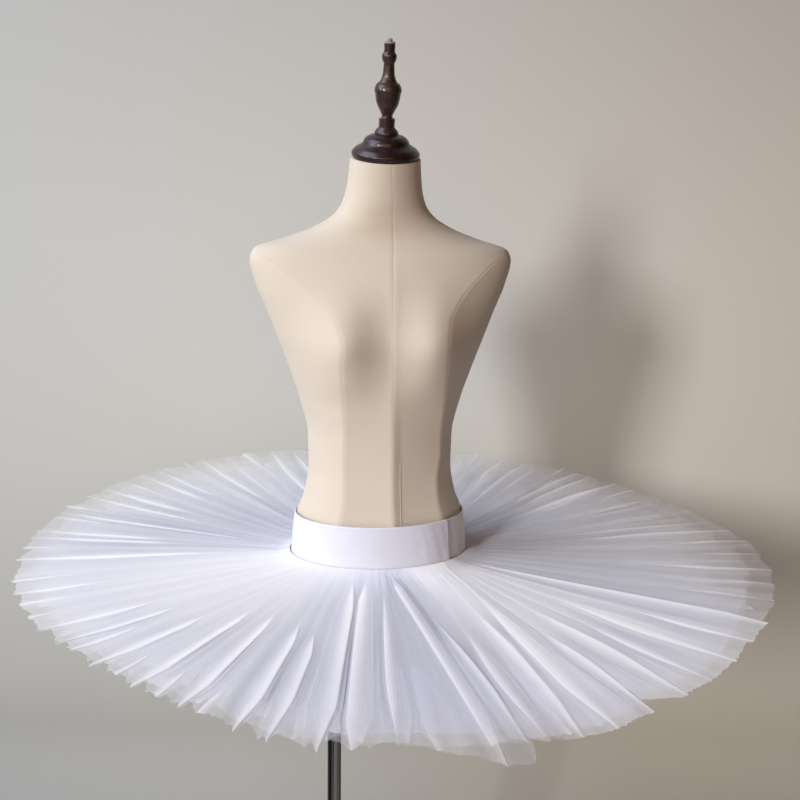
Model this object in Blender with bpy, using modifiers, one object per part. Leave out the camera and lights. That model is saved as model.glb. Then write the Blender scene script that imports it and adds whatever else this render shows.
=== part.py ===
"""A flat ballet tutu on its limbless dress form and stand. Metres, +Z up, front towards -Y.

The origin is on the floor, straight below the middle of the form. Azimuths are in degrees,
counted from the front (-Y) towards the form's left side (+X), as seen from above.
"""
import bisect
import random
from collections import namedtuple
from math import cos, degrees, exp, pi, radians, sin, tau

import bmesh
import bpy
from mathutils import Matrix, Vector

# ------------------------------------------------------------------ driving dimensions
GAP = 0.0003                # between pieces that touch

# waistband and knickers
BAND_BOTTOM_Z = 0.9030
BAND_HEIGHT = 0.0600
BAND_WALL = 0.0020
BAND_COLUMNS = 64
BAND_EASE = 0.0014          # between the form and the band
KNICKER_EASE = 0.0012       # between the form and the knickers
KNICKER_WALL = 0.0015
KNICKER_COLUMNS = 40
LEG_LINE_SIDE_Z = 0.838     # top of the leg opening, at the side
LEG_LINE_CENTRE_Z = 0.8050  # lower edge of the front and back, where the gusset begins
GUSSET_WIDTH = 0.056

# net
NET_WALL = 0.0013
PLATE_Z = 0.9000            # height of the top net
HEM_FOLD = 0.0056           # half the height of a fold at the hem
ROOT_FOLD = 0.0011          # half the height of a gather at the seam
FOLD_STEEPNESS = 0.11       # half height over width of a fold

# stand
POLE_X = -0.0650
POLE_RADIUS = 0.0105
POLE_SIDES = 20
BASE_RADIUS = 0.1900
BASE_THICKNESS = 0.0100
BASE_EDGE = 0.0030
COLLAR_RADIUS = 0.0240
COLLAR_HEIGHT = 0.0220
FLANGE_RADIUS = 0.0270
FLANGE_THICKNESS = 0.0040

# neck finial, leaning forward with the neck
TURNED_STEPS = 20

# The form's sections, bottom to top. lean_y moves a section's middle, tilt_deg tips it forward,
# and bust pushes its front out on both sides of the middle.
Section = namedtuple("Section", "z lean_y half_width front back bust tilt_deg")
FORM_SECTIONS = [
    Section(0.790, 0.000, 0.1120, 0.0740, 0.0760, 0.000, 0.0),
    Section(0.795, 0.000, 0.1290, 0.0880, 0.0910, 0.000, 0.0),
    Section(0.808, 0.000, 0.1400, 0.0970, 0.1020, 0.000, 0.0),
    Section(0.832, 0.000, 0.1440, 0.1000, 0.1060, 0.000, 0.0),
    Section(0.865, 0.000, 0.1385, 0.0955, 0.0990, 0.000, 0.0),
    Section(0.905, 0.000, 0.1256, 0.0856, 0.0866, 0.000, 0.0),
    Section(0.945, 0.000, 0.1220, 0.0827, 0.0820, 0.000, 0.0),
    Section(0.966, 0.000, 0.1190, 0.0805, 0.0780, 0.000, 0.0),
    Section(0.988, 0.000, 0.1105, 0.0765, 0.0725, 0.000, 0.0),
    Section(1.030, 0.001, 0.1032, 0.0745, 0.0705, 0.000, 0.0),
    Section(1.075, 0.001, 0.1036, 0.0770, 0.0730, 0.000, 0.0),
    Section(1.125, 0.001, 0.1140, 0.0840, 0.0800, 0.002, 0.0),
    Section(1.170, 0.001, 0.1283, 0.0890, 0.0890, 0.015, 0.0),
    Section(1.212, 0.001, 0.1437, 0.0920, 0.0970, 0.025, 0.0),
    Section(1.250, 0.002, 0.1580, 0.0880, 0.1000, 0.016, 0.0),
    Section(1.290, 0.003, 0.1740, 0.0780, 0.0950, 0.004, 0.0),
    Section(1.322, 0.005, 0.1815, 0.0640, 0.0810, 0.000, 0.0),
    Section(1.337, 0.006, 0.1755, 0.0560, 0.0720, 0.000, 0.0),
    Section(1.351, 0.006, 0.1340, 0.0500, 0.0640, 0.000, 0.0),
    Section(1.366, 0.004, 0.0950, 0.0470, 0.0580, 0.000, 0.0),
    Section(1.382, 0.001, 0.0690, 0.0470, 0.0540, 0.000, 0.0),
    Section(1.398, -0.003, 0.0570, 0.0470, 0.0500, 0.000, 3.0),
    Section(1.422, -0.008, 0.0505, 0.0460, 0.0480, 0.000, 7.0),
    Section(1.458, -0.015, 0.0467, 0.0455, 0.0455, 0.000, 12.0),
]
FORM_COLUMNS = 40
BUST_HALF_SPACING = 0.064
BUST_SPREAD = 0.040

# The top net's hem, all round: radius from the form's middle, and height above PLATE_Z.
HemPoint = namedtuple("HemPoint", "azimuth radius rise")
HEM = [
    HemPoint(-160, 0.541, 0.008),
    HemPoint(-138, 0.547, 0.005),
    HemPoint(-112, 0.532, -0.002),
    HemPoint(-90, 0.511, -0.008),
    HemPoint(-68, 0.490, 0.000),
    HemPoint(-48, 0.482, 0.009),
    HemPoint(-30, 0.496, 0.007),
    HemPoint(-16, 0.513, -0.002),
    HemPoint(-4, 0.506, -0.005),
    HemPoint(8, 0.512, -0.008),
    HemPoint(18, 0.530, -0.006),
    HemPoint(30, 0.531, 0.000),
    HemPoint(45, 0.533, 0.005),
    HemPoint(62, 0.544, 0.009),
    HemPoint(82, 0.553, 0.009),
    HemPoint(100, 0.547, 0.001),
    HemPoint(122, 0.539, 0.000),
    HemPoint(148, 0.544, 0.003),
    HemPoint(174, 0.538, 0.003),
]

# The net layers, top to bottom: share is the hem's radius over the top net's.
NetLayer = namedtuple("NetLayer", "name folds share root_drop hem_drop steps seed")
NET_LAYERS = [
    NetLayer("net_top", 80, 1.000, 0.000, 0.0000, (0.0, 0.16, 0.52, 1.0), 11),
    NetLayer("net_second", 48, 0.940, 0.012, 0.0150, (0.0, 0.20, 0.58, 1.0), 23),
    NetLayer("net_third", 40, 0.860, 0.024, 0.0300, (0.0, 0.30, 1.0), 37),
    NetLayer("net_fourth", 32, 0.760, 0.036, 0.0450, (0.0, 0.32, 1.0), 53),
]
FLAP_AZIMUTH = 5.0          # a loose flap of the second net hangs out below the front hem
FLAP_SPREAD = 8.5
FLAP_LENGTH = 0.030

# One fold of the net, across its width: where along the fold, and how high.
FoldPoint = namedtuple("FoldPoint", "along height")
FOLD = [
    FoldPoint(0.00, -0.60),
    FoldPoint(0.40, -1.00),
    FoldPoint(0.62, -0.45),
    FoldPoint(0.82, 1.00),
]

# The finial's outline, bottom to top along its own axis.
TurnedPoint = namedtuple("TurnedPoint", "height radius")
FINIAL = [
    TurnedPoint(0.0000, 0.0435),
    TurnedPoint(0.0030, 0.0450),
    TurnedPoint(0.0075, 0.0453),
    TurnedPoint(0.0130, 0.0405),
    TurnedPoint(0.0170, 0.0335),
    TurnedPoint(0.0190, 0.0322),
    TurnedPoint(0.0235, 0.0282),
    TurnedPoint(0.0285, 0.0215),
    TurnedPoint(0.0305, 0.0160),
    TurnedPoint(0.0340, 0.0156),
    TurnedPoint(0.0375, 0.0128),
    TurnedPoint(0.0400, 0.0105),
    TurnedPoint(0.0505, 0.0106),
    TurnedPoint(0.0535, 0.0069),
    TurnedPoint(0.0600, 0.0095),
    TurnedPoint(0.0700, 0.0145),
    TurnedPoint(0.0820, 0.0168),
    TurnedPoint(0.0870, 0.0178),
    TurnedPoint(0.0935, 0.0155),
    TurnedPoint(0.0975, 0.0110),
    TurnedPoint(0.1060, 0.0079),
    TurnedPoint(0.1195, 0.0069),
    TurnedPoint(0.1240, 0.0090),
    TurnedPoint(0.1295, 0.0095),
    TurnedPoint(0.1335, 0.0070),
    TurnedPoint(0.1440, 0.0072),
    TurnedPoint(0.1460, 0.0055),
    TurnedPoint(0.1462, 0.0035),
    TurnedPoint(0.1490, 0.0030),
    TurnedPoint(0.1500, 0.0012),
]

# ------------------------------------------------------------------ scene, materials, objects
for old in list(bpy.data.objects):
    bpy.data.objects.remove(old, do_unlink=True)

parts = bpy.data.collections.new("ballet_tutu")
bpy.context.scene.collection.children.link(parts)


def make_material(name, color, roughness, metallic=0.0):
    material = bpy.data.materials.new(name)
    material.use_nodes = True
    shader = material.node_tree.nodes["Principled BSDF"]
    shader.inputs["Base Color"].default_value = (*color, 1.0)
    shader.inputs["Roughness"].default_value = roughness
    shader.inputs["Metallic"].default_value = metallic
    material.diffuse_color = (*color, 1.0)
    return material


WHITE_SATEEN = make_material("white_sateen", (0.86, 0.86, 0.88), 0.55)
WHITE_JERSEY = make_material("white_jersey", (0.84, 0.84, 0.85), 0.80)
WHITE_NET = make_material("white_net", (0.82, 0.83, 0.88), 0.75)
CREAM_LINEN = make_material("cream_linen", (0.68, 0.60, 0.50), 0.85)
DARK_WOOD = make_material("dark_wood", (0.045, 0.018, 0.014), 0.22)
CHROME = make_material("chromed_steel", (0.62, 0.62, 0.64), 0.18, 1.0)
BLACK_STEEL = make_material("black_steel", (0.035, 0.035, 0.038), 0.40, 0.6)


def place_mesh(name, mesh, material, smooth_angle=40.0):
    mesh.materials.append(material)
    piece = bpy.data.objects.new(name, mesh)
    parts.objects.link(piece)
    mesh.shade_smooth()
    mesh.set_sharp_from_angle(angle=radians(smooth_angle))
    return piece


def make_loft(name, rings, material, closed_ring=True, capped=False):
    """Join rings of equal length with quads, and cap the first and last ring on demand."""
    shape = bmesh.new()
    rows = [[shape.verts.new(point) for point in ring] for ring in rings]
    columns = len(rows[0])
    spans = columns if closed_ring else columns - 1
    for lower, upper in zip(rows, rows[1:]):
        for i in range(spans):
            j = (i + 1) % columns
            shape.faces.new((lower[i], lower[j], upper[j], upper[i]))
    if capped:
        shape.faces.new(list(reversed(rows[0])))
        shape.faces.new(rows[-1])
    mesh = bpy.data.meshes.new(name)
    shape.to_mesh(mesh)
    shape.free()
    return place_mesh(name, mesh, material)


def add_wall(piece, thickness, offset):
    """Give an open surface its wall: offset -1 grows it inwards, 0 both ways, 1 outwards."""
    wall = piece.modifiers.new("wall", "SOLIDIFY")
    wall.thickness = thickness
    wall.offset = offset
    wall.use_even_offset = False


def make_turned(name, outline, material, steps):
    """Turn an outline of (radius, height) points, listed top to bottom, about Z."""
    mesh = bpy.data.meshes.new(name)
    points = [(radius, 0.0, height) for radius, height in outline]
    edges = [(i, i + 1) for i in range(len(points) - 1)]
    mesh.from_pydata(points, edges, [])
    piece = place_mesh(name, mesh, material)
    turn = piece.modifiers.new("turn", "SCREW")
    turn.angle = tau
    turn.steps = steps
    turn.render_steps = steps
    turn.use_merge_vertices = True
    turn.merge_threshold = 0.00005
    turn.use_normal_calculate = False
    return piece


# ------------------------------------------------------------------ the form's shape
def spline(x, xs, ys):
    """Smooth curve through (xs, ys) with slopes that never overshoot a level stretch."""
    k = min(max(bisect.bisect_right(xs, x) - 1, 0), len(xs) - 2)
    steps = [b - a for a, b in zip(xs, xs[1:])]
    rises = [(d - c) / h for c, d, h in zip(ys, ys[1:], steps)]

    def slope(i):
        if i in (0, len(xs) - 1):
            return rises[min(i, len(rises) - 1)]
        before, after = rises[i - 1], rises[i]
        if before * after <= 0:
            return 0.0
        return 2.0 * before * after / (before + after)

    h = steps[k]
    t = (x - xs[k]) / h
    return (
        ys[k] * (1 + 2 * t) * (1 - t) ** 2
        + slope(k) * h * t * (1 - t) ** 2
        + ys[k + 1] * t * t * (3 - 2 * t)
        + slope(k + 1) * h * t * t * (t - 1)
    )


SECTION_HEIGHTS = [row.z for row in FORM_SECTIONS]


def form_section(z):
    """The form's section at height z, read smoothly from the table."""
    columns = [[getattr(row, field) for row in FORM_SECTIONS] for field in Section._fields]
    return Section(*(spline(z, SECTION_HEIGHTS, column) for column in columns))


def form_point(section, azimuth, grow=0.0):
    """A point of the form at one section and azimuth (radians), grown outwards by grow."""
    side = sin(azimuth)
    ahead = cos(azimuth)
    depth = section.front if ahead > 0 else section.back
    x = (section.half_width + grow) * side
    y = -(depth + grow) * ahead
    if ahead > 0:
        off_apex = (abs(x) - BUST_HALF_SPACING) / BUST_SPREAD
        y -= section.bust * exp(-off_apex * off_apex) * ahead ** 0.5
    tilt = radians(section.tilt_deg)
    return Vector((x, section.lean_y + y * cos(tilt), section.z + y * sin(tilt)))


def ring_azimuths(columns):
    return [tau * i / columns for i in range(columns)]


def form_ring(z, columns, grow=0.0):
    section = form_section(z)
    return [form_point(section, azimuth, grow) for azimuth in ring_azimuths(columns)]


form_heights = [0.790, 0.795, 0.808, 0.832, 0.868, 0.905, 0.940, 0.966, 0.988, 1.030, 1.075, 1.120]
form_heights += [1.155, 1.185, 1.212, 1.240, 1.272, 1.300, 1.322, 1.332, 1.342, 1.354, 1.367, 1.382]
form_heights += [1.400, 1.425, 1.458]
form_torso = make_loft(
    "form_torso",
    [form_ring(z, FORM_COLUMNS) for z in form_heights],
    CREAM_LINEN,
    capped=True,
)

# ------------------------------------------------------------------ waistband and knickers
band_heights = [BAND_BOTTOM_Z, BAND_BOTTOM_Z + BAND_HEIGHT / 2, BAND_BOTTOM_Z + BAND_HEIGHT]
waistband = make_loft(
    "waistband",
    [form_ring(z, BAND_COLUMNS, BAND_EASE) for z in band_heights],
    WHITE_SATEEN,
)
add_wall(waistband, BAND_WALL, 1.0)


def leg_line(azimuth):
    """Height of the knickers' lower edge: low at the middle front and back, high at the sides."""
    reach = min(abs(sin(azimuth)) / 0.85, 1.0)
    rise = reach * reach * (3 - 2 * reach)
    return LEG_LINE_CENTRE_Z + (LEG_LINE_SIDE_Z - LEG_LINE_CENTRE_Z) * rise


# the wall grows square to the sloping hip, so its outer edge stands a little higher
knicker_top = BAND_BOTTOM_Z - GAP - 0.4 * KNICKER_WALL
knicker_rings = []
for share in (1.0, 0.62, 0.36, 0.16, 0.0):
    ring = []
    for azimuth in ring_azimuths(KNICKER_COLUMNS):
        lowest = leg_line(azimuth)
        section = form_section(lowest + (knicker_top - lowest) * share)
        ring.append(form_point(section, azimuth, KNICKER_EASE))
    knicker_rings.append(ring)
knickers = make_loft("knickers", list(reversed(knicker_rings)), WHITE_JERSEY)
add_wall(knickers, KNICKER_WALL, 1.0)

# The gusset runs under the form from the front's lower edge to the back's, as wide as the leg
# openings leave it.
def form_profile(azimuth, heights):
    return [form_point(form_section(z), azimuth) for z in heights]


def push_out(points, distance):
    """Move each point of a path in the YZ plane down and out, at right angles to the path."""
    moved = []
    for i, point in enumerate(points):
        before = points[max(i - 1, 0)]
        after = points[min(i + 1, len(points) - 1)]
        along = (after - before).normalized()
        moved.append(point + Vector((0.0, along.z, -along.y)) * distance)
    return moved


gusset_heights = [LEG_LINE_CENTRE_Z - GAP, 0.8000, 0.7950, 0.7900]
gusset_path = form_profile(0.0, gusset_heights)
gusset_path += reversed(form_profile(pi, gusset_heights))
gusset_path = push_out(gusset_path, KNICKER_EASE)
gusset_path[0].z = gusset_path[-1].z = LEG_LINE_CENTRE_Z - GAP
gusset_rows = [
    [Vector((x, point.y, point.z)) for point in gusset_path]
    for x in (-GUSSET_WIDTH / 2, 0.0, GUSSET_WIDTH / 2)
]
gusset = make_loft("knickers_gusset", gusset_rows, WHITE_JERSEY, closed_ring=False)
add_wall(gusset, KNICKER_WALL, 1.0)


# ------------------------------------------------------------------ net layers
def hem_at(azimuth_deg):
    """Radius and rise of the top net's hem, read smoothly round the table."""
    first = HEM[0].azimuth
    turn = (azimuth_deg - first) % 360.0 + first
    looped = [HEM[-1]._replace(azimuth=HEM[-1].azimuth - 360)]
    looped += HEM
    looped += [row._replace(azimuth=row.azimuth + 360) for row in HEM[:2]]
    azimuths = [row.azimuth for row in looped]
    radius = spline(turn, azimuths, [row.radius for row in looped])
    rise = spline(turn, azimuths, [row.rise for row in looped])
    return radius, rise


def fold_widths(folds, chance):
    """Uneven widths for the folds, in radians, that add up to a full turn."""
    weights = [chance.uniform(0.62, 1.5) for _ in range(folds)]
    total = sum(weights)
    return [tau * weight / total for weight in weights]


def net_columns(layer):
    """One row for each column of the net: azimuth, fold width, fold height, hem jag."""
    chance = random.Random(layer.seed)
    start = -pi
    columns = []
    for width in fold_widths(layer.folds, chance):
        strength = chance.uniform(0.70, 1.0)
        jag = chance.uniform(-0.006, 0.006)
        for point in FOLD:
            tip = 0.004 if point.height == 1.0 else 0.0
            azimuth = start + point.along * width
            columns.append((azimuth, width, point.height * strength, jag + tip))
        start += width
    return columns


def make_net(layer):
    root_z = PLATE_Z - layer.root_drop
    lowest_root = root_z - ROOT_FOLD - NET_WALL
    root_section = form_section(lowest_root)
    root_grow = KNICKER_EASE + KNICKER_WALL + 2 * GAP
    rings = [[] for _ in layer.steps]
    for azimuth, width, height, jag in net_columns(layer):
        radius, rise = hem_at(degrees(azimuth))
        hem_radius = radius * layer.share + jag
        off_flap = (degrees(azimuth) - FLAP_AZIMUTH) / FLAP_SPREAD
        if layer.name == "net_second":
            hem_radius += FLAP_LENGTH * exp(-off_flap ** 4)
        # the root hugs the knickers, and each column runs straight out from it
        root = form_point(root_section, azimuth, root_grow)
        root.z = root_z
        # the hem's point at the same azimuth
        hem = Vector((hem_radius * sin(azimuth), -hem_radius * cos(azimuth), 0.0))
        hem.z = PLATE_Z - layer.hem_drop + rise
        for ring, share in zip(rings, layer.steps):
            point = root.lerp(hem, share)
            reach = Vector((point.x, point.y, 0.0)).length
            cap = ROOT_FOLD + (HEM_FOLD - ROOT_FOLD) * share
            fold = min(FOLD_STEEPNESS * reach * width, cap)
            # the rise comes in towards the hem, so the seam stays level
            point.z += fold * height - (1 - share) * share * rise
            ring.append(point)
    net = make_loft(layer.name, list(reversed(rings)), WHITE_NET)
    add_wall(net, NET_WALL, 0.0)
    return net


for net_layer in NET_LAYERS:
    make_net(net_layer)

# ------------------------------------------------------------------ neck finial
neck_top = FORM_SECTIONS[-1]
finial_outline = [(0.0, FINIAL[-1].height)]
finial_outline += [(point.radius, point.height) for point in reversed(FINIAL)]
finial_outline += [(0.0, 0.0)]
finial = make_turned("neck_finial", finial_outline, DARK_WOOD, TURNED_STEPS)
finial.location = (0.0, neck_top.lean_y, neck_top.z)
finial.rotation_euler = (radians(neck_top.tilt_deg), 0.0, 0.0)
finial.location += Matrix.Rotation(radians(neck_top.tilt_deg), 3, "X") @ Vector((0, 0, GAP))

# ------------------------------------------------------------------ stand
form_bottom = FORM_SECTIONS[0].z
flange_top = form_bottom - GAP
flange_bottom = flange_top - FLANGE_THICKNESS
flange_outline = [
    (0.0, flange_top),
    (FLANGE_RADIUS - 0.001, flange_top),
    (FLANGE_RADIUS, flange_top - 0.001),
    (FLANGE_RADIUS, flange_bottom),
    (POLE_RADIUS + 0.004, flange_bottom),
    (POLE_RADIUS + 0.003, flange_bottom - 0.018),
    (0.0, flange_bottom - 0.018),
]
pole_flange = make_turned("pole_flange", flange_outline, CHROME, POLE_SIDES)
pole_flange.location.x = POLE_X

collar_top = BASE_THICKNESS + GAP + COLLAR_HEIGHT
pole_top = flange_bottom - 0.018 - GAP
pole_bottom = collar_top + GAP
shape = bmesh.new()
bmesh.ops.create_cone(
    shape,
    cap_ends=True,
    segments=POLE_SIDES,
    radius1=POLE_RADIUS,
    radius2=POLE_RADIUS,
    depth=pole_top - pole_bottom,
)
pole_mesh = bpy.data.meshes.new("pole")
shape.to_mesh(pole_mesh)
shape.free()
pole = place_mesh("pole", pole_mesh, CHROME)
pole.location = (POLE_X, 0.0, (pole_top + pole_bottom) / 2)

collar_outline = [
    (0.0, collar_top),
    (POLE_RADIUS + 0.004, collar_top),
    (POLE_RADIUS + 0.006, collar_top - 0.002),
    (COLLAR_RADIUS, BASE_THICKNESS + GAP + 0.004),
    (COLLAR_RADIUS, BASE_THICKNESS + GAP),
    (0.0, BASE_THICKNESS + GAP),
]
base_collar = make_turned("base_collar", collar_outline, CHROME, POLE_SIDES)
base_collar.location.x = POLE_X

base_outline = [
    (0.0, BASE_THICKNESS),
    (BASE_RADIUS - BASE_EDGE, BASE_THICKNESS),
    (BASE_RADIUS - BASE_EDGE * (1 - sin(pi / 4)), BASE_THICKNESS - BASE_EDGE * (1 - cos(pi / 4))),
    (BASE_RADIUS, BASE_THICKNESS - BASE_EDGE),
    (BASE_RADIUS, 0.001),
    (BASE_RADIUS - 0.001, 0.0),
    (0.0, 0.0),
]
stand_base = make_turned("stand_base", base_outline, BLACK_STEEL, 48)
stand_base.location.x = POLE_X
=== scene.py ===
"""A flat ballet tutu of gathered white net on its limbless dress form and stand.

Metres, +Z up. The form's front faces -Y and its left side is +X. Azimuths are in degrees from the
front (-Y) towards +X, as seen from above, unless a name says radians.
"""
import bisect
import random
from collections import namedtuple
from functools import partial
from math import atan2, cos, degrees, exp, pi, radians, sin, sqrt, tau

import bmesh
import bpy
from mathutils import Matrix, Quaternion, Vector


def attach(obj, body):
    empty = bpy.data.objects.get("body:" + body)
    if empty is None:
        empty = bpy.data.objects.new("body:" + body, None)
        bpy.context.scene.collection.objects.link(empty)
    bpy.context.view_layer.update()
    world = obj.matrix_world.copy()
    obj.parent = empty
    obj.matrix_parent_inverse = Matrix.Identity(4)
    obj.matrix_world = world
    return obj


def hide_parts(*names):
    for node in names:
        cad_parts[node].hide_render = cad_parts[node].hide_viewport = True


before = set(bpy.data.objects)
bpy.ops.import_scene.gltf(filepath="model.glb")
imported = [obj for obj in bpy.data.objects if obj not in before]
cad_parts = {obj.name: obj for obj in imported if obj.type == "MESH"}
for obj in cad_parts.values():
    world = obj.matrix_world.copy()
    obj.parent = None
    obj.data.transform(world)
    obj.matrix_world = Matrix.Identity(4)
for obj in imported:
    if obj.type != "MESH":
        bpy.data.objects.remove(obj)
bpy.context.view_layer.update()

scene = bpy.context.scene

# ------------------------------------------------------------------ studio
# A sheet of pale paper hangs close behind the tutu and sweeps forward over the floor. Its colour
# is painted with light and shade: cooler to the viewer's left, warmer to the right, and darker
# near the floor and towards the top.
# Two lamps like windows stand far off to the viewer's left, the one further round a warm one. A
# cool softbox hangs over the tutu on the same side, and a weak warm lamp by the viewer stands for
# light off the room, so the form's other side stays in a warm shade.
VIEW_TURN = radians(8.0)            # the viewer stands this far towards the form's right side
CAMERA_DISTANCE = 1.354
CAMERA_ASIDE = 0.027
CAMERA_HEIGHT = 1.425
CAMERA_DOWN = radians(12.5)
CAMERA_ROLL = radians(1.0)
CAMERA_LENS_MM = 43.92
CAMERA_SENSOR_MM = 36.0

PAPER_BEHIND = 0.64                 # the hanging paper, measured from the form's middle
PAPER_BEND = 0.22
PAPER_WIDTH = 9.0
PAPER_TOP = 3.6
PAPER_AHEAD = 5.0
# painted light and shade in the paper's colour: cool to the viewer's left, warm to the right, and
# by height darker near the floor and towards the top
PAPER_PAINTED_COOL_LIGHT = (0.56, 0.59, 0.58)     # to the viewer's left
PAPER_PAINTED_WARM_LIGHT = (0.60, 0.58, 0.53)     # and right
PAPER_GRADED_TO = 1.8
PAPER_PAINTED_SHADE = [(0.0, 0.65), (0.20, 0.91), (0.47, 1.0), (0.72, 0.93), (1.0, 0.80)]

# around is measured from the line between the form and the viewer, towards the viewer's left, and
# spread is how wide a lamp's beam opens, in degrees
StudioLamp = namedtuple("StudioLamp", "name around distance height width tall spread watts color")
NEUTRAL_DAYLIGHT = (1.0, 1.0, 1.0)
COOL_SKY = (0.7, 0.8, 1.0)
LOW_SUN = (1.0, 0.8, 0.5)
WARM_ROOM = (1.0, 0.57, 0.28)
STUDIO_LAMPS = [StudioLamp(*row) for row in (
    ("front_window", 33.0, 7.0, 2.85, 1.05, 1.60, 44.0, 20.0, NEUTRAL_DAYLIGHT),
    ("side_window", 66.0, 7.0, 3.00, 1.80, 2.40, 44.0, 10.0, LOW_SUN),
    ("overhead_softbox", 72.0, 2.2, 3.40, 2.40, 2.40, 180.0, 90.0, COOL_SKY),
    ("room_bounce", 0.0, 3.0, 2.00, 2.00, 2.00, 180.0, 25.0, WARM_ROOM),
)]
LAMP_AIM = Vector((0.0, 0.0, 1.22))

ahead = Vector((sin(VIEW_TURN), cos(VIEW_TURN), 0.0))       # away from the viewer
across = Vector((cos(VIEW_TURN), -sin(VIEW_TURN), 0.0))     # to the viewer's right

camera_data = bpy.data.cameras.new("camera")
camera_data.lens = CAMERA_LENS_MM
camera_data.sensor_width = CAMERA_SENSOR_MM
camera_data.clip_start = 0.05
camera = bpy.data.objects.new("camera", camera_data)
scene.collection.objects.link(camera)
camera.location = across * CAMERA_ASIDE - ahead * CAMERA_DISTANCE + Vector((0, 0, CAMERA_HEIGHT))
sight = ahead * cos(CAMERA_DOWN) - Vector((0, 0, sin(CAMERA_DOWN)))
camera.rotation_mode = "QUATERNION"
camera.rotation_quaternion = sight.to_track_quat("-Z", "Y") @ Quaternion((0, 0, 1), CAMERA_ROLL)
scene.camera = camera

scene.view_settings.view_transform = "Standard"
scene.cycles.transparent_max_bounces = 40       # several plies of net lie behind each other


def new_material(name):
    """An empty node material, and its tree."""
    material = bpy.data.materials.new(name)
    material.use_nodes = True
    tree = material.node_tree
    tree.nodes.clear()
    return material, tree


def add_node(tree, kind, **settings):
    """A node of a kind. Settings name its properties, or its inputs where the key is a socket."""
    node = tree.nodes.new(kind)
    for key, value in settings.items():
        if hasattr(node, key):
            setattr(node, key, value)
            continue
        socket = node.inputs[key.replace("_", " ")]
        is_color = socket.type == "RGBA" and len(value) == 3
        socket.default_value = (*value, 1.0) if is_color else value
    return node


def wire(tree, *joins):
    """Join nodes. Each join is a node, its output's name, the next node and its input's name."""
    for source, output, target, socket in joins:
        tree.links.new(source.outputs[output], target.inputs[socket])


def principled(tree, **values):
    """The Principled BSDF of a material, joined to a new output. Values name its inputs."""
    shader = add_node(tree, "ShaderNodeBsdfPrincipled", **values)
    output = tree.nodes.new("ShaderNodeOutputMaterial")
    wire(tree, (shader, "BSDF", output, "Surface"))
    return shader


def color_ramp(tree, *stops):
    """A colour ramp through two or more stops, each a position and a colour, in order."""
    node = tree.nodes.new("ShaderNodeValToRGB")
    elements = node.color_ramp.elements
    for position, _ in stops[1:-1]:
        elements.new(position)
    for element, (position, color) in zip(elements, stops):
        element.position = position
        element.color = (*color, 1.0)
    return node


paper, tree = new_material("studio_paper")
shader = principled(tree, Roughness=0.95, Specular_IOR_Level=0.1)
where = add_node(tree, "ShaderNodeTexCoord")
mottle = add_node(tree, "ShaderNodeTexNoise", Scale=1.3, Detail=2.0)
# painted light: cooler to the viewer's left and warmer to the right
tone = color_ramp(tree, (0.0, PAPER_PAINTED_COOL_LIGHT), (1.0, PAPER_PAINTED_WARM_LIGHT))
painted_light_side = add_node(
    tree, "ShaderNodeMapRange", From_Min=-1.0, From_Max=1.0, To_Min=-0.15, To_Max=0.85
)
mottled = add_node(tree, "ShaderNodeMath", operation="MULTIPLY_ADD", use_clamp=True)
mottled.inputs[1].default_value = 0.3
height = add_node(tree, "ShaderNodeSeparateXYZ")
# painted shade: darker near the floor and towards the top
graded = add_node(tree, "ShaderNodeMapRange", From_Min=0.0, From_Max=PAPER_GRADED_TO)
painted_shade_grade = color_ramp(tree, *((up, (grey, grey, grey)) for up, grey in PAPER_PAINTED_SHADE))
shaded = add_node(tree, "ShaderNodeMix", data_type="RGBA", blend_type="MULTIPLY", Factor=1.0)
wire(
    tree,
    (where, "Object", height, "Vector"),
    (height, "Z", graded, "Value"),
    (graded, "Result", painted_shade_grade, "Fac"),
    (where, "Object", mottle, "Vector"),
    (height, "X", painted_light_side, "Value"),
    (mottle, "Fac", mottled, 0),
    (painted_light_side, "Result", mottled, 2),
    (mottled, "Value", tone, "Fac"),
    (tone, "Color", shaded, "A"),
    (painted_shade_grade, "Color", shaded, "B"),
    (shaded, "Result", shader, "Base Color"),
)
# seen from behind, the paper is not in the way
side = add_node(tree, "ShaderNodeNewGeometry")
clear = add_node(tree, "ShaderNodeBsdfTransparent")
one_sided = add_node(tree, "ShaderNodeMixShader")
output = tree.nodes["Material Output"]
wire(
    tree,
    (side, "Backfacing", one_sided, "Fac"),
    (shader, "BSDF", one_sided, 1),
    (clear, "BSDF", one_sided, 2),
    (one_sided, "Shader", output, "Surface"),
)


def quarter_round(steps):
    """A quarter circle in a corner, from one side of it to the other, as shares of its radius."""
    turns = [radians(90) * step / steps for step in range(steps + 1)]
    return [(1 - sin(turn), 1 - cos(turn)) for turn in turns]


sweep = [(-PAPER_AHEAD, 0.0)]
sweep += [(PAPER_BEHIND - PAPER_BEND * near, PAPER_BEND * up) for near, up in quarter_round(16)]
sweep.append((PAPER_BEHIND, PAPER_TOP))
points = []
for side_x in (-PAPER_WIDTH / 2, PAPER_WIDTH / 2):
    points += [across * side_x + ahead * far + Vector((0, 0, up)) for far, up in sweep]
count = len(sweep)
faces = [(i, i + count, i + count + 1, i + 1) for i in range(count - 1)]
paper_mesh = bpy.data.meshes.new("studio_paper")
paper_mesh.from_pydata(points, [], faces)
paper_mesh.materials.append(paper)
paper_mesh.shade_smooth()
backdrop = bpy.data.objects.new("studio_paper", paper_mesh)
scene.collection.objects.link(backdrop)

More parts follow.
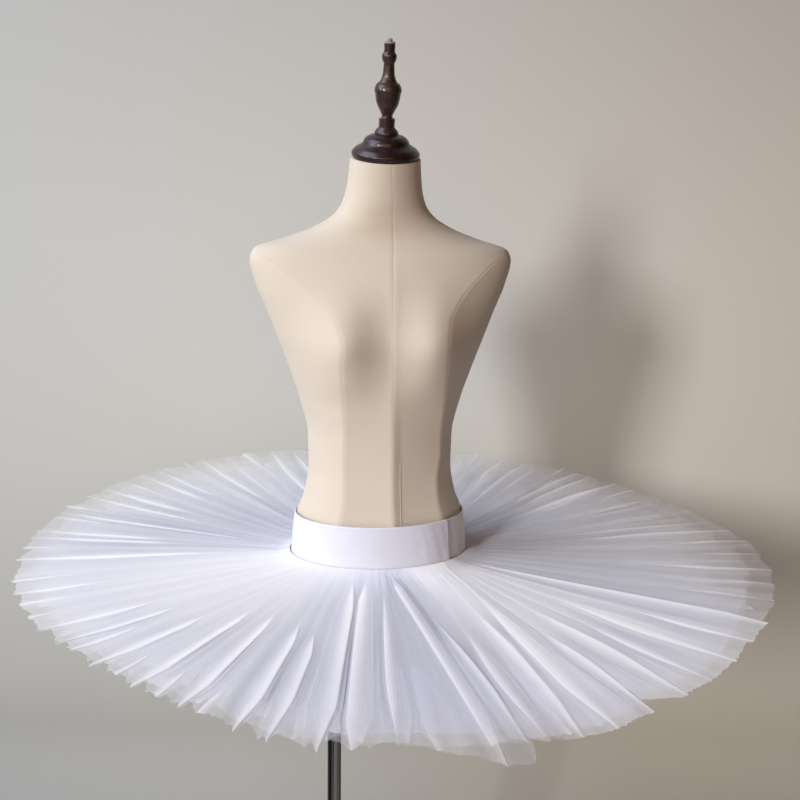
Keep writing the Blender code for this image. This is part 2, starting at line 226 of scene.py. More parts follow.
for setting in STUDIO_LAMPS:
    lamp_data = bpy.data.lights.new(setting.name, "AREA")
    lamp_data.shape = "RECTANGLE"
    lamp_data.size = setting.width
    lamp_data.size_y = setting.tall
    lamp_data.energy = setting.watts
    lamp_data.spread = radians(setting.spread)
    lamp_data.color = setting.color
    lamp = bpy.data.objects.new(setting.name, lamp_data)
    scene.collection.objects.link(lamp)
    around = radians(setting.around)
    lamp.location = -setting.distance * (across * sin(around) + ahead * cos(around))
    lamp.location.z = setting.height
    lamp.rotation_euler = (LAMP_AIM - lamp.location).to_track_quat("-Z", "Y").to_euler()

world = bpy.data.worlds.new("white_room")
world.use_nodes = True
world.node_tree.nodes["Background"].inputs["Color"].default_value = (1.0, 0.91, 0.82, 1.0)
world.node_tree.nodes["Background"].inputs["Strength"].default_value = 0.02
scene.world = world

# ------------------------------------------------------------------ dress form
# A light moulded shell covered in cream linen. The cover is sewn from eight long panels, so a seam
# runs down the middle of the front and back, down each side, and from each shoulder over the bust.
FormSection = namedtuple("FormSection", "z lean_y half_width front back bust tilt")
FORM_SECTIONS = [FormSection(*row) for row in (
    (0.790, 0.000, 0.1120, 0.0740, 0.0760, 0.000, 0.0),
    (0.795, 0.000, 0.1290, 0.0880, 0.0910, 0.000, 0.0),
    (0.808, 0.000, 0.1400, 0.0970, 0.1020, 0.000, 0.0),
    (0.832, 0.000, 0.1440, 0.1000, 0.1060, 0.000, 0.0),
    (0.865, 0.000, 0.1385, 0.0955, 0.0990, 0.000, 0.0),
    (0.905, 0.000, 0.1256, 0.0856, 0.0866, 0.000, 0.0),
    (0.945, 0.000, 0.1220, 0.0827, 0.0820, 0.000, 0.0),
    (0.966, 0.000, 0.1190, 0.0805, 0.0780, 0.000, 0.0),
    (0.988, 0.000, 0.1105, 0.0765, 0.0725, 0.000, 0.0),
    (1.030, 0.001, 0.1032, 0.0745, 0.0705, 0.000, 0.0),
    (1.075, 0.001, 0.1036, 0.0770, 0.0730, 0.000, 0.0),
    (1.125, 0.001, 0.1140, 0.0840, 0.0800, 0.002, 0.0),
    (1.170, 0.001, 0.1283, 0.0890, 0.0890, 0.015, 0.0),
    (1.212, 0.001, 0.1437, 0.0920, 0.0970, 0.025, 0.0),
    (1.250, 0.002, 0.1580, 0.0880, 0.1000, 0.016, 0.0),
    (1.290, 0.003, 0.1740, 0.0780, 0.0950, 0.004, 0.0),
    (1.322, 0.005, 0.1815, 0.0640, 0.0810, 0.000, 0.0),
    (1.337, 0.006, 0.1755, 0.0560, 0.0720, 0.000, 0.0),
    (1.351, 0.006, 0.1340, 0.0500, 0.0640, 0.000, 0.0),
    (1.366, 0.004, 0.0950, 0.0470, 0.0580, 0.000, 0.0),
    (1.382, 0.001, 0.0690, 0.0470, 0.0540, 0.000, 0.0),
    (1.398, -0.003, 0.0570, 0.0470, 0.0500, 0.000, 3.0),
    (1.422, -0.008, 0.0505, 0.0460, 0.0480, 0.000, 7.0),
    (1.458, -0.015, 0.0467, 0.0455, 0.0455, 0.000, 12.0),
)]
BUST_HALF_SPACING = 0.064
BUST_SPREAD = 0.040

# where the panels meet, bottom to top: the front princess seams and the middle front, as azimuths
FormSeams = namedtuple("FormSeams", "z right_princess middle left_princess")
FORM_SEAMS = [FormSeams(*row) for row in (
    (0.790, -36.0, 4.0, 40.0),
    (0.905, -34.0, 5.0, 42.0),
    (0.991, -32.2, 5.0, 44.0),
    (1.026, -34.2, 4.9, 46.6),
    (1.062, -34.3, 4.7, 50.5),
    (1.112, -32.3, 3.5, 46.3),
    (1.153, -30.0, 2.4, 40.5),
    (1.192, -28.2, 1.8, 35.1),
    (1.222, -25.6, 1.4, 32.0),
    (1.250, -27.7, 1.4, 31.1),
    (1.264, -31.2, 1.5, 33.4),
    (1.281, -36.0, 1.6, 36.8),
    (1.300, -43.6, 1.9, 43.9),
    (1.317, -53.2, 2.1, 52.0),
    (1.323, -58.4, 2.2, 57.0),
    (1.331, -72.8, 2.4, 65.5),
    (1.365, -73.0, 4.6, 68.0),
    (1.404, -73.0, 6.4, 68.0),
    (1.436, -73.0, 4.3, 68.0),
    (1.458, -73.0, 4.0, 68.0),
)]
BACK_PRINCESS = 142.0
PRINCESS_ENDS = (1.331, 1.340)      # heights over which the princess seams end at the shoulder
MIDDLE_FADES = (1.30, 1.38)         # and over which the cloth beside the middle front smooths out
SEAM_DEPTH = 0.00035
SEAM_HALF_WIDTH = 0.0010
SEAM_GREY = 0.13
SEAM_WELT = 0.00018                 # the pressed allowances raise the cloth beside a seam
WELT_OFF_SEAM = 0.0042
WELT_HALF_WIDTH = 0.0022
# painted shade beside the middle seam, on the panel to the form's left
MIDDLE_SEAM_PAINTED_SHADE = 0.5
PAINTED_SHADE_WIDTH = (0.009, 0.013)         # the strip of painted shade beside the middle seam fades out over these distances from it, and upwards over these heights
PAINTED_SHADE_UP_TO = (1.06, 1.16)           # distances from it, and upwards over these heights
PANEL_COLUMNS = 30
FORM_RINGS = 176
TAUT_FRONT = 0.0042                 # the cloth is pulled flat between seams by this much
TAUT_BACK = 0.0022
GIRTH = 0.12                        # metres of a cut to a radian round the form


def curve_through(x, xs, ys):
    """Smooth curve through (xs, ys) with slopes that never overshoot a level stretch."""
    k = min(max(bisect.bisect_right(xs, x) - 1, 0), len(xs) - 2)

    def rise(i):
        return (ys[i + 1] - ys[i]) / (xs[i + 1] - xs[i])

    def slope(i):
        if i in (0, len(xs) - 1):
            return rise(min(i, len(xs) - 2))
        before, after = rise(i - 1), rise(i)
        if before * after <= 0:
            return 0.0
        return 2.0 * before * after / (before + after)

    h = xs[k + 1] - xs[k]
    t = (x - xs[k]) / h
    return (
        ys[k] * (1 + 2 * t) * (1 - t) ** 2
        + slope(k) * h * t * (1 - t) ** 2
        + ys[k + 1] * t * t * (3 - 2 * t)
        + slope(k + 1) * h * t * t * (t - 1)
    )


def ease(x, low, high):
    """0 below low, 1 above high and smooth between."""
    t = min(max((x - low) / (high - low), 0.0), 1.0)
    return t * t * (3 - 2 * t)


def read_table(table, x):
    """The row of a table of named tuples at x, its first column, read smoothly."""
    xs = [row[0] for row in table]
    columns = list(zip(*table))
    return type(table[0])(*(curve_through(x, xs, column) for column in columns))


def form_point(section, azimuth, grow=0.0):
    """A point of the form at one section and azimuth (radians), grown outwards by grow."""
    side = sin(azimuth)
    front = cos(azimuth)
    depth = section.front if front > 0 else section.back
    x = (section.half_width + grow) * side
    y = -(depth + grow) * front
    if front > 0:
        off_apex = (abs(x) - BUST_HALF_SPACING) / BUST_SPREAD
        y -= section.bust * exp(-off_apex * off_apex) * front ** 0.5
    tilt = radians(section.tilt)
    return Vector((x, section.lean_y + y * cos(tilt), section.z + y * sin(tilt)))


def grid_mesh(name, rows, material, closed, uvs, marks):
    """A smooth mesh through rows of points. closed joins each row's ends.

    uvs gives (u, v) for each point, with one more column than points where closed. marks gives
    named floats for the points.
    """
    columns = len(rows[0])
    spans = columns if closed else columns - 1
    faces = []
    flat = []
    for r in range(len(rows) - 1):
        for i in range(spans):
            j = (i + 1) % columns
            here, above = r * columns, (r + 1) * columns
            faces.append((here + i, here + j, above + j, above + i))
            for u, v in (uvs[r][i], uvs[r][i + 1], uvs[r + 1][i + 1], uvs[r + 1][i]):
                flat += [u, v]
    mesh = bpy.data.meshes.new(name)
    mesh.from_pydata([point for row in rows for point in row], [], faces)
    mesh.uv_layers.new(name="cut").data.foreach_set("uv", flat)
    for key, values in marks.items():
        attribute = mesh.attributes.new(key, "FLOAT", "POINT")
        attribute.data.foreach_set("value", [value for row in values for value in row])
    mesh.materials.append(material)
    mesh.shade_smooth()
    return mesh


def add_piece(name, mesh, replaces=()):
    """Put a finished mesh in the scene as a piece of the object."""
    piece = bpy.data.objects.new(name, mesh)
    scene.collection.objects.link(piece)
    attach(piece, "root")
    if replaces:
        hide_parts(*replaces)
    return piece


def new_group(name, kind, inputs, outputs):
    """A node group and its two end nodes. inputs and outputs give the sockets' kinds by name."""
    group = bpy.data.node_groups.new(name, kind)
    for in_out, sockets in (("INPUT", inputs), ("OUTPUT", outputs)):
        for socket_name, socket_kind in sockets.items():
            group.interface.new_socket(
                name=socket_name, in_out=in_out, socket_type="NodeSocket" + socket_kind
            )
    return group, group.nodes.new("NodeGroupInput"), group.nodes.new("NodeGroupOutput")


def math_node(tree, operation, a, b=None, clamp=False):
    """The result of one sum on sockets or numbers."""
    node = add_node(tree, "ShaderNodeMath", operation=operation, use_clamp=clamp)
    for socket, value in zip(node.inputs, (a, b)):
        if isinstance(value, (int, float)):
            socket.default_value = value
        elif value is not None:
            tree.links.new(value, socket)
    return node.outputs["Value"]


# Woven cloth, as a shader group: threads over and under each other, and slubs along them.
SLUB_STRETCH = (900.0, 60.0, 60.0)
PATCH_SCALE = 6.0


def make_weave_group():
    inputs = {"Vector": "Vector", "Threads": "Float", "Slub": "Float"}
    outputs = {"Height": "Float", "Shade": "Float"}
    group, given, result = new_group("woven_cloth", "ShaderNodeTree", inputs, outputs)
    math = partial(math_node, group)
    split = add_node(group, "ShaderNodeSeparateXYZ")
    stretch = add_node(group, "ShaderNodeMapping", Scale=SLUB_STRETCH)
    slubs = add_node(group, "ShaderNodeTexNoise", Scale=1.0, Detail=2.0)
    patches = add_node(group, "ShaderNodeTexNoise", Scale=PATCH_SCALE, Detail=3.0)
    wire(
        group,
        (given, "Vector", split, "Vector"),
        (given, "Vector", stretch, "Vector"),
        (stretch, "Vector", slubs, "Vector"),
        (given, "Vector", patches, "Vector"),
    )
    turns = math("MULTIPLY", given.outputs["Threads"], pi)
    warp = math("SINE", math("MULTIPLY", split.outputs["X"], turns))
    weft = math("SINE", math("MULTIPLY", split.outputs["Y"], turns))
    over = math("MULTIPLY", warp, weft)
    slub = math("MULTIPLY", slubs.outputs["Fac"], given.outputs["Slub"])
    height = math("ADD", math("MULTIPLY", over, 0.5), slub)
    fine = math("MULTIPLY", math("SUBTRACT", slubs.outputs["Fac"], 0.5), 0.5)
    shade = math("ADD", patches.outputs["Fac"], fine)
    group.links.new(height, result.inputs["Height"])
    group.links.new(shade, result.inputs["Shade"])
    return group


weave_group = make_weave_group()


def cloth_material(name, dark, light, seam_and_shade_color, threads, slub, bump, **values):
    """Woven cloth on a piece's own cut, in two tones, with another where its "seam" mark says: dark
    seams, and on some pieces painted shade.
    """
    material, tree = new_material(name)
    shader = principled(tree, **values)
    cut = add_node(tree, "ShaderNodeUVMap", uv_map="cut")
    weave = add_node(tree, "ShaderNodeGroup", node_tree=weave_group, Threads=threads, Slub=slub)
    tone = add_node(tree, "ShaderNodeMix", data_type="RGBA", A=dark, B=light)
    seam = add_node(tree, "ShaderNodeAttribute", attribute_name="seam")
    marked = add_node(tree, "ShaderNodeMix", data_type="RGBA", B=seam_and_shade_color)
    raised = add_node(tree, "ShaderNodeBump", Strength=0.6, Distance=bump)
    wire(
        tree,
        (cut, "UV", weave, "Vector"),
        (weave, "Shade", tone, "Factor"),
        (weave, "Height", raised, "Height"),
        (raised, "Normal", shader, "Normal"),
        (seam, "Fac", marked, "Factor"),
        (tone, "Result", marked, "A"),
        (marked, "Result", shader, "Base Color"),
    )
    return material


cream_linen = cloth_material(
    "cream_linen",
    dark=(0.525, 0.475, 0.400),
    light=(0.588, 0.542, 0.468),
    threads=1400.0,
    slub=0.8,
    bump=0.00012,
    seam_and_shade_color=(0.345, 0.307, 0.240),
    Roughness=0.82,
    Sheen_Weight=0.12,
    Sheen_Roughness=0.6,
    Specular_IOR_Level=0.25,
)


def form_azimuths(z):
    """The azimuths of one ring's columns, their share across the panel, and the panel's number."""
    seams = read_table(FORM_SEAMS, z)
    edges = [-180.0, -BACK_PRINCESS, -90.0, *seams[1:], 90.0, BACK_PRINCESS, 180.0]
    columns = []
    for panel, (start, end) in enumerate(zip(edges, edges[1:])):
        for k in range(PANEL_COLUMNS):
            along = k / PANEL_COLUMNS
            # columns stand closer together near a seam
            near = min(along, 1 - along)
            share = 0.5 * (2 * near) ** 2.2
            share = share if along < 0.5 else 1 - share
            columns.append((radians(start + (end - start) * share), share, panel))
    return columns, edges


form_low = FORM_SECTIONS[0].z
form_high = FORM_SECTIONS[-1].z
rows, uvs, seam_and_shade_rows = [], [], []
for ring in range(FORM_RINGS + 1):
    z = form_low + (form_high - form_low) * ring / FORM_RINGS
    section = read_table(FORM_SECTIONS, z)
    columns, edges = form_azimuths(z)
    around = (section.half_width + section.front) / 2
    panel_widths = [radians(b - a) * around for a, b in zip(edges, edges[1:])]
    # the cloth is pulled flat from the hips upwards, less so over the bust, and not at the shoulder
    taut = ease(z, 0.80, 0.95) * (1 - 0.4 * ease(z, 1.10, 1.18)) * (1 - ease(z, 1.29, 1.335))
    row, uv_row, seam_and_shade_row = [], [], []
    for azimuth, share, panel in columns:
        off_seam = min(share, 1 - share) * panel_widths[panel]
        # past the shoulder only the side and middle seams and the two front panels' run on
        runs_on = panel in ((0, 2, 3, 4, 6) if share < 0.5 else (1, 3, 4, 5, 7))
        fade = 1.0 if runs_on else 1 - ease(z, *PRINCESS_ENDS)
        if panel in (3, 4) and share != 0:
            fade *= 1 - 0.7 * ease(z, *MIDDLE_FADES)
        groove = exp(-((off_seam / SEAM_HALF_WIDTH) ** 2)) * fade
        welt = exp(-(((off_seam - WELT_OFF_SEAM) / WELT_HALF_WIDTH) ** 2)) * fade
        pull = (TAUT_FRONT if 2 <= panel <= 5 else TAUT_BACK) * taut
        inward = SEAM_DEPTH * groove - SEAM_WELT * welt + pull * 4 * share * (1 - share)
        row.append(form_point(section, azimuth, -inward))
        # painted shade: at the waist and below, the panel beside the middle seam is painted darker
        painted_shade = 0.0
        if panel == 4 and share < 0.5:
            beside = ease(off_seam, 0.0, 0.002) * (1 - ease(off_seam, *PAINTED_SHADE_WIDTH))
            painted_shade = MIDDLE_SEAM_PAINTED_SHADE * beside * (1 - ease(z, *PAINTED_SHADE_UP_TO))
        seam_and_shade_row.append(SEAM_GREY * groove + painted_shade)
        uv_row.append((azimuth * GIRTH, z))
    uv_row.append((pi * GIRTH, z))
    rows.append(row)
    uvs.append(uv_row)
    seam_and_shade_rows.append(seam_and_shade_row)
form_mesh = grid_mesh("dress_form", rows, cream_linen, True, uvs, {"seam": seam_and_shade_rows})
caps = bmesh.new()
caps.from_mesh(form_mesh)
caps.verts.ensure_lookup_table()
ring_size = len(rows[0])
caps.faces.new([caps.verts[i] for i in reversed(range(ring_size))])
caps.faces.new([caps.verts[len(caps.verts) - ring_size + i] for i in range(ring_size)])
caps.to_mesh(form_mesh)
caps.free()
form_mesh.set_sharp_from_angle(angle=radians(60))
add_piece("dress_form", form_mesh, ["form_torso"])

# beside the middle seam the cover is pressed into one narrow tuck, from the waist upwards
TUCK_BESIDE_SEAM = 0.0110
TUCK_HALF_WIDTH = 0.0006
TUCK_HEIGHT = 0.0005
TUCK_EDGES_IN = 0.0012              # its two edges lie this deep inside the form
TUCK_FOOT = 0.940
TUCK_LENGTH = 0.118
TUCK_FLATTENS = (1.035, 1.058)
TUCK_ROWS = 24
rows, uvs, seam_and_shade_rows = [], [], []
for step in range(TUCK_ROWS + 1):
    z = TUCK_FOOT + TUCK_LENGTH * step / TUCK_ROWS
    section = read_table(FORM_SECTIONS, z)
    seam = radians(read_table(FORM_SEAMS, z).middle)
    raised = 1 - ease(z, *TUCK_FLATTENS)
    row = []
    for out in (-1.0, 0.0, 1.0):
        place = seam + (TUCK_BESIDE_SEAM + TUCK_HALF_WIDTH * out) / section.half_width
        lift = TUCK_HEIGHT * raised * (1 - abs(out)) - TUCK_EDGES_IN
        row.append(form_point(section, place, lift))
    rows.append(row)
    uvs.append([(0.5 + 0.001 * k, z) for k in range(3)])
    seam_and_shade_rows.append([0.0] * 3)
tuck_mesh = grid_mesh("pressed_tuck", rows, cream_linen, False, uvs, {"seam": seam_and_shade_rows})
add_piece("pressed_tuck", tuck_mesh)

# ------------------------------------------------------------------ neck finial
# One length of hardwood, turned on a lathe to a flange, a vase and a thin neck, then stained and
# dipped in gloss lacquer. It leans forward with the neck, and its sawn top is left bare.
FINIAL_TILT = radians(12.0)
FINIAL_FOOT = Vector((0.0, -0.015, 1.458))
FINIAL_STEPS = 72
FINIAL_BETWEEN = 4                  # steps of the curve between two rows of its outline
FINIAL_GAP = 0.0003

TurnedPoint = namedtuple("TurnedPoint", "height radius crisp")
FINIAL = [TurnedPoint(*row) for row in (
    (0.0000, 0.0435, True),
    (0.0030, 0.0450, False),
    (0.0075, 0.0453, False),
    (0.0130, 0.0405, True),
    (0.0170, 0.0335, True),
    (0.0184, 0.0318, True),
    (0.0194, 0.0310, False),
    (0.0240, 0.0290, False),
    (0.0283, 0.0236, False),
    (0.0305, 0.0160, True),
    (0.0340, 0.0156, False),
    (0.0375, 0.0128, False),
    (0.0400, 0.0105, True),
    (0.0505, 0.0106, True),
    (0.0535, 0.0069, False),
    (0.0600, 0.0095, False),
    (0.0700, 0.0145, False),
    (0.0820, 0.0168, False),
    (0.0870, 0.0178, False),
    (0.0935, 0.0155, False),
    (0.0975, 0.0110, False),
    (0.1060, 0.0079, False),
    (0.1195, 0.0069, True),
    (0.1240, 0.0090, False),
    (0.1295, 0.0095, False),
    (0.1335, 0.0070, True),
    (0.1440, 0.0072, True),
)]
# its bare top, with a stub of the peg that held it in the lathe
FINIAL_TOP = [TurnedPoint(*row) for row in (
    (0.1440, 0.0072, True),
    (0.1460, 0.0055, True),
    (0.1462, 0.0035, True),
    (0.1490, 0.0030, False),
    (0.1500, 0.0012, True),
    (0.1500, 0.0000, True),
)]


def smooth_outline(points):
    """More points along a turned outline, on a curve that is broken only at the crisp ones."""
    outline = []
    for i in range(len(points) - 1):
        here, following = points[i], points[i + 1]
        before = here if here.crisp else points[i - 1]
        after = following if following.crisp else points[i + 2]
        p = [Vector((q.height, q.radius)) for q in (before, here, following, after)]
        for step in range(FINIAL_BETWEEN):
            t = step / FINIAL_BETWEEN
            outline.append(
                0.5 * (
                    2 * p[1]
                    + (p[2] - p[0]) * t
                    + (2 * p[0] - 5 * p[1] + 4 * p[2] - p[3]) * t * t
                    + (3 * p[1] - p[0] - 3 * p[2] + p[3]) * t ** 3
                )
            )
    outline.append(Vector((points[-1].height, points[-1].radius)))
    return outline


def turned_mesh(name, outline, steps, material, place):
    """A mesh of revolution through (height, radius) points, bottom to top, set in place."""
    shape = bmesh.new()
    turns = [tau * k / steps for k in range(steps)]
    rings = []
    for height, radius in outline:
        ring = [(radius * cos(a), radius * sin(a), height) for a in turns]
        if radius < 1e-6:
            ring = [(0.0, 0.0, height)]
        rings.append([shape.verts.new(point) for point in ring])
    for lower, upper in zip(rings, rings[1:]):
        for k in range(steps):
            n = (k + 1) % steps
            if len(lower) == 1:
                shape.faces.new((lower[0], upper[n], upper[k]))
            elif len(upper) == 1:
                shape.faces.new((lower[k], lower[n], upper[0]))
            else:
                shape.faces.new((lower[k], lower[n], upper[n], upper[k]))
    if len(rings[0]) > 1:
        shape.faces.new(list(reversed(rings[0])))
    if len(rings[-1]) > 1:
        shape.faces.new(rings[-1])
    shape.transform(place)
    mesh = bpy.data.meshes.new(name)
    shape.to_mesh(mesh)
    shape.free()
    mesh.materials.append(material)
    mesh.shade_smooth()
    mesh.set_sharp_from_angle(angle=radians(35))
    return mesh


lacquered_wood, tree = new_material("lacquered_hardwood")
shader = principled(
    tree,
    Specular_IOR_Level=0.3,
    Coat_Weight=0.34,
    Coat_Roughness=0.14,
    Coat_IOR=1.52,
)
where = add_node(tree, "ShaderNodeTexCoord")
upright = add_node(
    tree, "ShaderNodeMapping", Scale=(1.0, 1.0, 0.06), Rotation=(-FINIAL_TILT, 0.0, 0.0)
)
grain = add_node(tree, "ShaderNodeTexNoise", Scale=420.0, Detail=5.0, Roughness=0.6)
growth = add_node(tree, "ShaderNodeTexNoise", Scale=60.0, Detail=2.0)
both = add_node(tree, "ShaderNodeMix", data_type="FLOAT", Factor=0.45)
stain = color_ramp(tree, (0.36, (0.010, 0.0062, 0.0054)), (0.66, (0.048, 0.026, 0.019)))
height = add_node(tree, "ShaderNodeSeparateXYZ")
# darker and redder below the vase, over the flange
low_down = add_node(tree, "ShaderNodeMapRange", From_Min=1.494, From_Max=1.484)
darker = add_node(
    tree, "ShaderNodeMix", data_type="RGBA", blend_type="MULTIPLY", B=(0.62, 0.42, 0.48)
)
gloss = add_node(tree, "ShaderNodeMapRange", To_Min=0.30, To_Max=0.48)
pores = add_node(tree, "ShaderNodeBump", Strength=0.25, Distance=0.0002)
wire(
    tree,
    (where, "Object", upright, "Vector"),
    (upright, "Vector", grain, "Vector"),
    (upright, "Vector", growth, "Vector"),
    (grain, "Fac", both, "A"),
    (growth, "Fac", both, "B"),
    (both, "Result", stain, "Fac"),
    (where, "Object", height, "Vector"),
    (height, "Z", low_down, "Value"),
    (low_down, "Result", darker, "Factor"),
    (stain, "Color", darker, "A"),
    (darker, "Result", shader, "Base Color"),
    (grain, "Fac", gloss, "Value"),
    (gloss, "Result", shader, "Roughness"),
    (grain, "Fac", pores, "Height"),
    (pores, "Normal", shader, "Normal"),
)

bare_wood, tree = new_material("bare_end_grain")
shader = principled(tree, Roughness=0.7, Specular_IOR_Level=0.3)
where = add_node(tree, "ShaderNodeTexCoord")
speck = add_node(tree, "ShaderNodeTexNoise", Scale=900.0, Detail=3.0)
stain = color_ramp(tree, (0.35, (0.13, 0.125, 0.105)), (0.65, (0.30, 0.29, 0.25)))
wire(
    tree,
    (where, "Object", speck, "Vector"),
    (speck, "Fac", stain, "Fac"),
    (stain, "Color", shader, "Base Color"),
)

finial_place = Matrix.Translation(FINIAL_FOOT) @ Matrix.Rotation(FINIAL_TILT, 4, "X")
finial_place = finial_place @ Matrix.Translation((0.0, 0.0, FINIAL_GAP))
finial_mesh = turned_mesh(
    "turned_finial", smooth_outline(FINIAL), FINIAL_STEPS, lacquered_wood, finial_place
)
add_piece("turned_finial", finial_mesh, ["neck_finial"])
top_mesh = turned_mesh(
    "finial_top", smooth_outline(FINIAL_TOP), FINIAL_STEPS, bare_wood, finial_place
)
add_piece("finial_top", top_mesh)

# ------------------------------------------------------------------ pole, flange, collar and base
# A chromed steel tube screws into a flange under the form and stands in a cast collar on a round
# steel plate, which is powder coated black.
POLE_X = -0.0650
POLE_RADIUS = 0.0105
POLE_STEPS = 64
FLANGE_RADIUS = 0.0270
FLANGE_THICKNESS = 0.0040
FLANGE_NECK = 0.018
COLLAR_RADIUS = 0.0240
COLLAR_HEIGHT = 0.0220
BASE_RADIUS = 0.1900
BASE_THICKNESS = 0.0100
BASE_EDGE = 0.0030
BASE_STEPS = 128
STAND_GAP = 0.0003

chrome, tree = new_material("polished_chrome")
shader = principled(tree, Metallic=1.0)
where = add_node(tree, "ShaderNodeTexCoord")
smear = add_node(tree, "ShaderNodeTexNoise", Scale=38.0, Detail=4.0, Roughness=0.65)
drawn = add_node(tree, "ShaderNodeMapping", Scale=(1.0, 1.0, 0.12))
wear = add_node(tree, "ShaderNodeMapRange", To_Min=0.05, To_Max=0.16)
# painted reflection in the chrome's colour, from near black to grey
tint = add_node(
    tree, "ShaderNodeMix", data_type="RGBA", A=(0.022, 0.021, 0.020), B=(0.42, 0.415, 0.40)
)
# painted reflection: lengthwise stripes, dark and light as of a room, that hardly change along
# the tube
lengthwise = add_node(tree, "ShaderNodeMapping", Scale=(1.0, 1.0, 0.004))
painted_reflection_stripes = add_node(tree, "ShaderNodeTexNoise", Scale=150.0, Detail=2.0, Roughness=0.6)
painted_reflection_bands = add_node(tree, "ShaderNodeMapRange", From_Min=0.55, From_Max=0.66)
wire(
    tree,
    (where, "Object", drawn, "Vector"),
    (drawn, "Vector", smear, "Vector"),
    (smear, "Fac", wear, "Value"),
    (wear, "Result", shader, "Roughness"),
    (where, "Object", lengthwise, "Vector"),
    (lengthwise, "Vector", painted_reflection_stripes, "Vector"),
    (painted_reflection_stripes, "Fac", painted_reflection_bands, "Value"),
    (painted_reflection_bands, "Result", tint, "Factor"),
    (tint, "Result", shader, "Base Color"),
)

powder_coat, tree = new_material("black_powder_coat")
shader = principled(tree, Specular_IOR_Level=0.5)
where = add_node(tree, "ShaderNodeTexCoord")
peel = add_node(tree, "ShaderNodeTexNoise", Scale=1400.0, Detail=2.0)
dust = add_node(tree, "ShaderNodeTexNoise", Scale=14.0, Detail=5.0, Roughness=0.7)
dusty = add_node(
    tree, "ShaderNodeMix", data_type="RGBA", A=(0.018, 0.018, 0.020), B=(0.060, 0.058, 0.055)
)
dull = add_node(tree, "ShaderNodeMapRange", To_Min=0.36, To_Max=0.60)
texture = add_node(tree, "ShaderNodeBump", Strength=0.35, Distance=0.0002)
wire(
    tree,
    (where, "Object", peel, "Vector"),
    (where, "Object", dust, "Vector"),
    (dust, "Fac", dusty, "Factor"),
    (dusty, "Result", shader, "Base Color"),
    (dust, "Fac", dull, "Value"),
    (dull, "Result", shader, "Roughness"),
    (peel, "Fac", texture, "Height"),
    (texture, "Normal", shader, "Normal"),
)

pole_place = Matrix.Translation((POLE_X, 0.0, 0.0))
flange_top = form_low - STAND_GAP
flange_bottom = flange_top - FLANGE_THICKNESS
pole_top = flange_bottom - FLANGE_NECK - STAND_GAP
collar_foot = BASE_THICKNESS + STAND_GAP
collar_top = collar_foot + COLLAR_HEIGHT
flange_outline = [
    (flange_bottom - FLANGE_NECK, 0.0),
    (flange_bottom - FLANGE_NECK, POLE_RADIUS + 0.0026),
    (flange_bottom - FLANGE_NECK + 0.0006, POLE_RADIUS + 0.0031),
    (flange_bottom - 0.0020, POLE_RADIUS + 0.0038),
    (flange_bottom - 0.0006, POLE_RADIUS + 0.0046),
    (flange_bottom, POLE_RADIUS + 0.0060),
    (flange_bottom, FLANGE_RADIUS - 0.0008),
    (flange_bottom + 0.0008, FLANGE_RADIUS),
    (flange_top - 0.0010, FLANGE_RADIUS),
    (flange_top, FLANGE_RADIUS - 0.0010),
    (flange_top, 0.0),
]
flange_mesh = turned_mesh("form_flange", flange_outline, POLE_STEPS, chrome, pole_place)
add_piece("form_flange", flange_mesh, ["pole_flange"])
pole_outline = [
    (collar_top + STAND_GAP, 0.0),
    (collar_top + STAND_GAP, POLE_RADIUS - 0.0004),
    (collar_top + STAND_GAP + 0.0004, POLE_RADIUS),
    (pole_top - 0.0004, POLE_RADIUS),
    (pole_top, POLE_RADIUS - 0.0004),
    (pole_top, 0.0),
]
pole_mesh = turned_mesh("stand_pole", pole_outline, POLE_STEPS, chrome, pole_place)
add_piece("stand_pole", pole_mesh, ["pole"])
collar_outline = [
    (collar_foot, 0.0),
    (collar_foot, COLLAR_RADIUS - 0.0006),
    (collar_foot + 0.0006, COLLAR_RADIUS),
    (collar_foot + 0.0036, COLLAR_RADIUS),
    (collar_foot + 0.0048, COLLAR_RADIUS - 0.0014),
    (collar_top - 0.0026, POLE_RADIUS + 0.0064),
    (collar_top - 0.0008, POLE_RADIUS + 0.0052),
    (collar_top, POLE_RADIUS + 0.0036),
    (collar_top, 0.0),
]
collar_mesh = turned_mesh("pole_collar", collar_outline, POLE_STEPS, chrome, pole_place)
add_piece("pole_collar", collar_mesh, ["base_collar"])
base_outline = [(0.0, 0.0), (0.0, BASE_RADIUS - 0.0010), (0.0010, BASE_RADIUS)]
for down, inward in quarter_round(8):
    base_outline.append((BASE_THICKNESS - BASE_EDGE * down, BASE_RADIUS - BASE_EDGE * inward))
base_outline.append((BASE_THICKNESS, 0.0))
base_mesh = turned_mesh("base_plate", base_outline, BASE_STEPS, powder_coat, pole_place)
add_piece("base_plate", base_mesh, ["stand_base"])

# ------------------------------------------------------------------ waistband
# One doubled strip of white sateen, six centimetres deep, pulled on over the form. Its ends meet
# in an upright join at the left front, and a row of stitches along its foot holds the net.
BAND_FOOT = 0.9030
BAND_HEIGHT = 0.0600
BAND_EASE = 0.0014
BAND_WALL = 0.0020
BAND_COLUMNS = 320
BAND_JOIN = radians(47.0)
BAND_JOIN_STEP = 0.0006
BAND_END_STANDS_OFF = 0.0022      # the stiff upper end stands off the curve of the form
BAND_RIPPLES = 0.00022
BAND_END_PAINTED_SHADE = 0.5               # painted shade on the sateen beside the join
BAND_STITCHES = 0.06              # the stitch row's share of the way up the band
BAND_ROLL = 0.965                 # and its rolled edge's
FACE_INSET = 0.0003               # an outer face lies this much inside its nominal wall

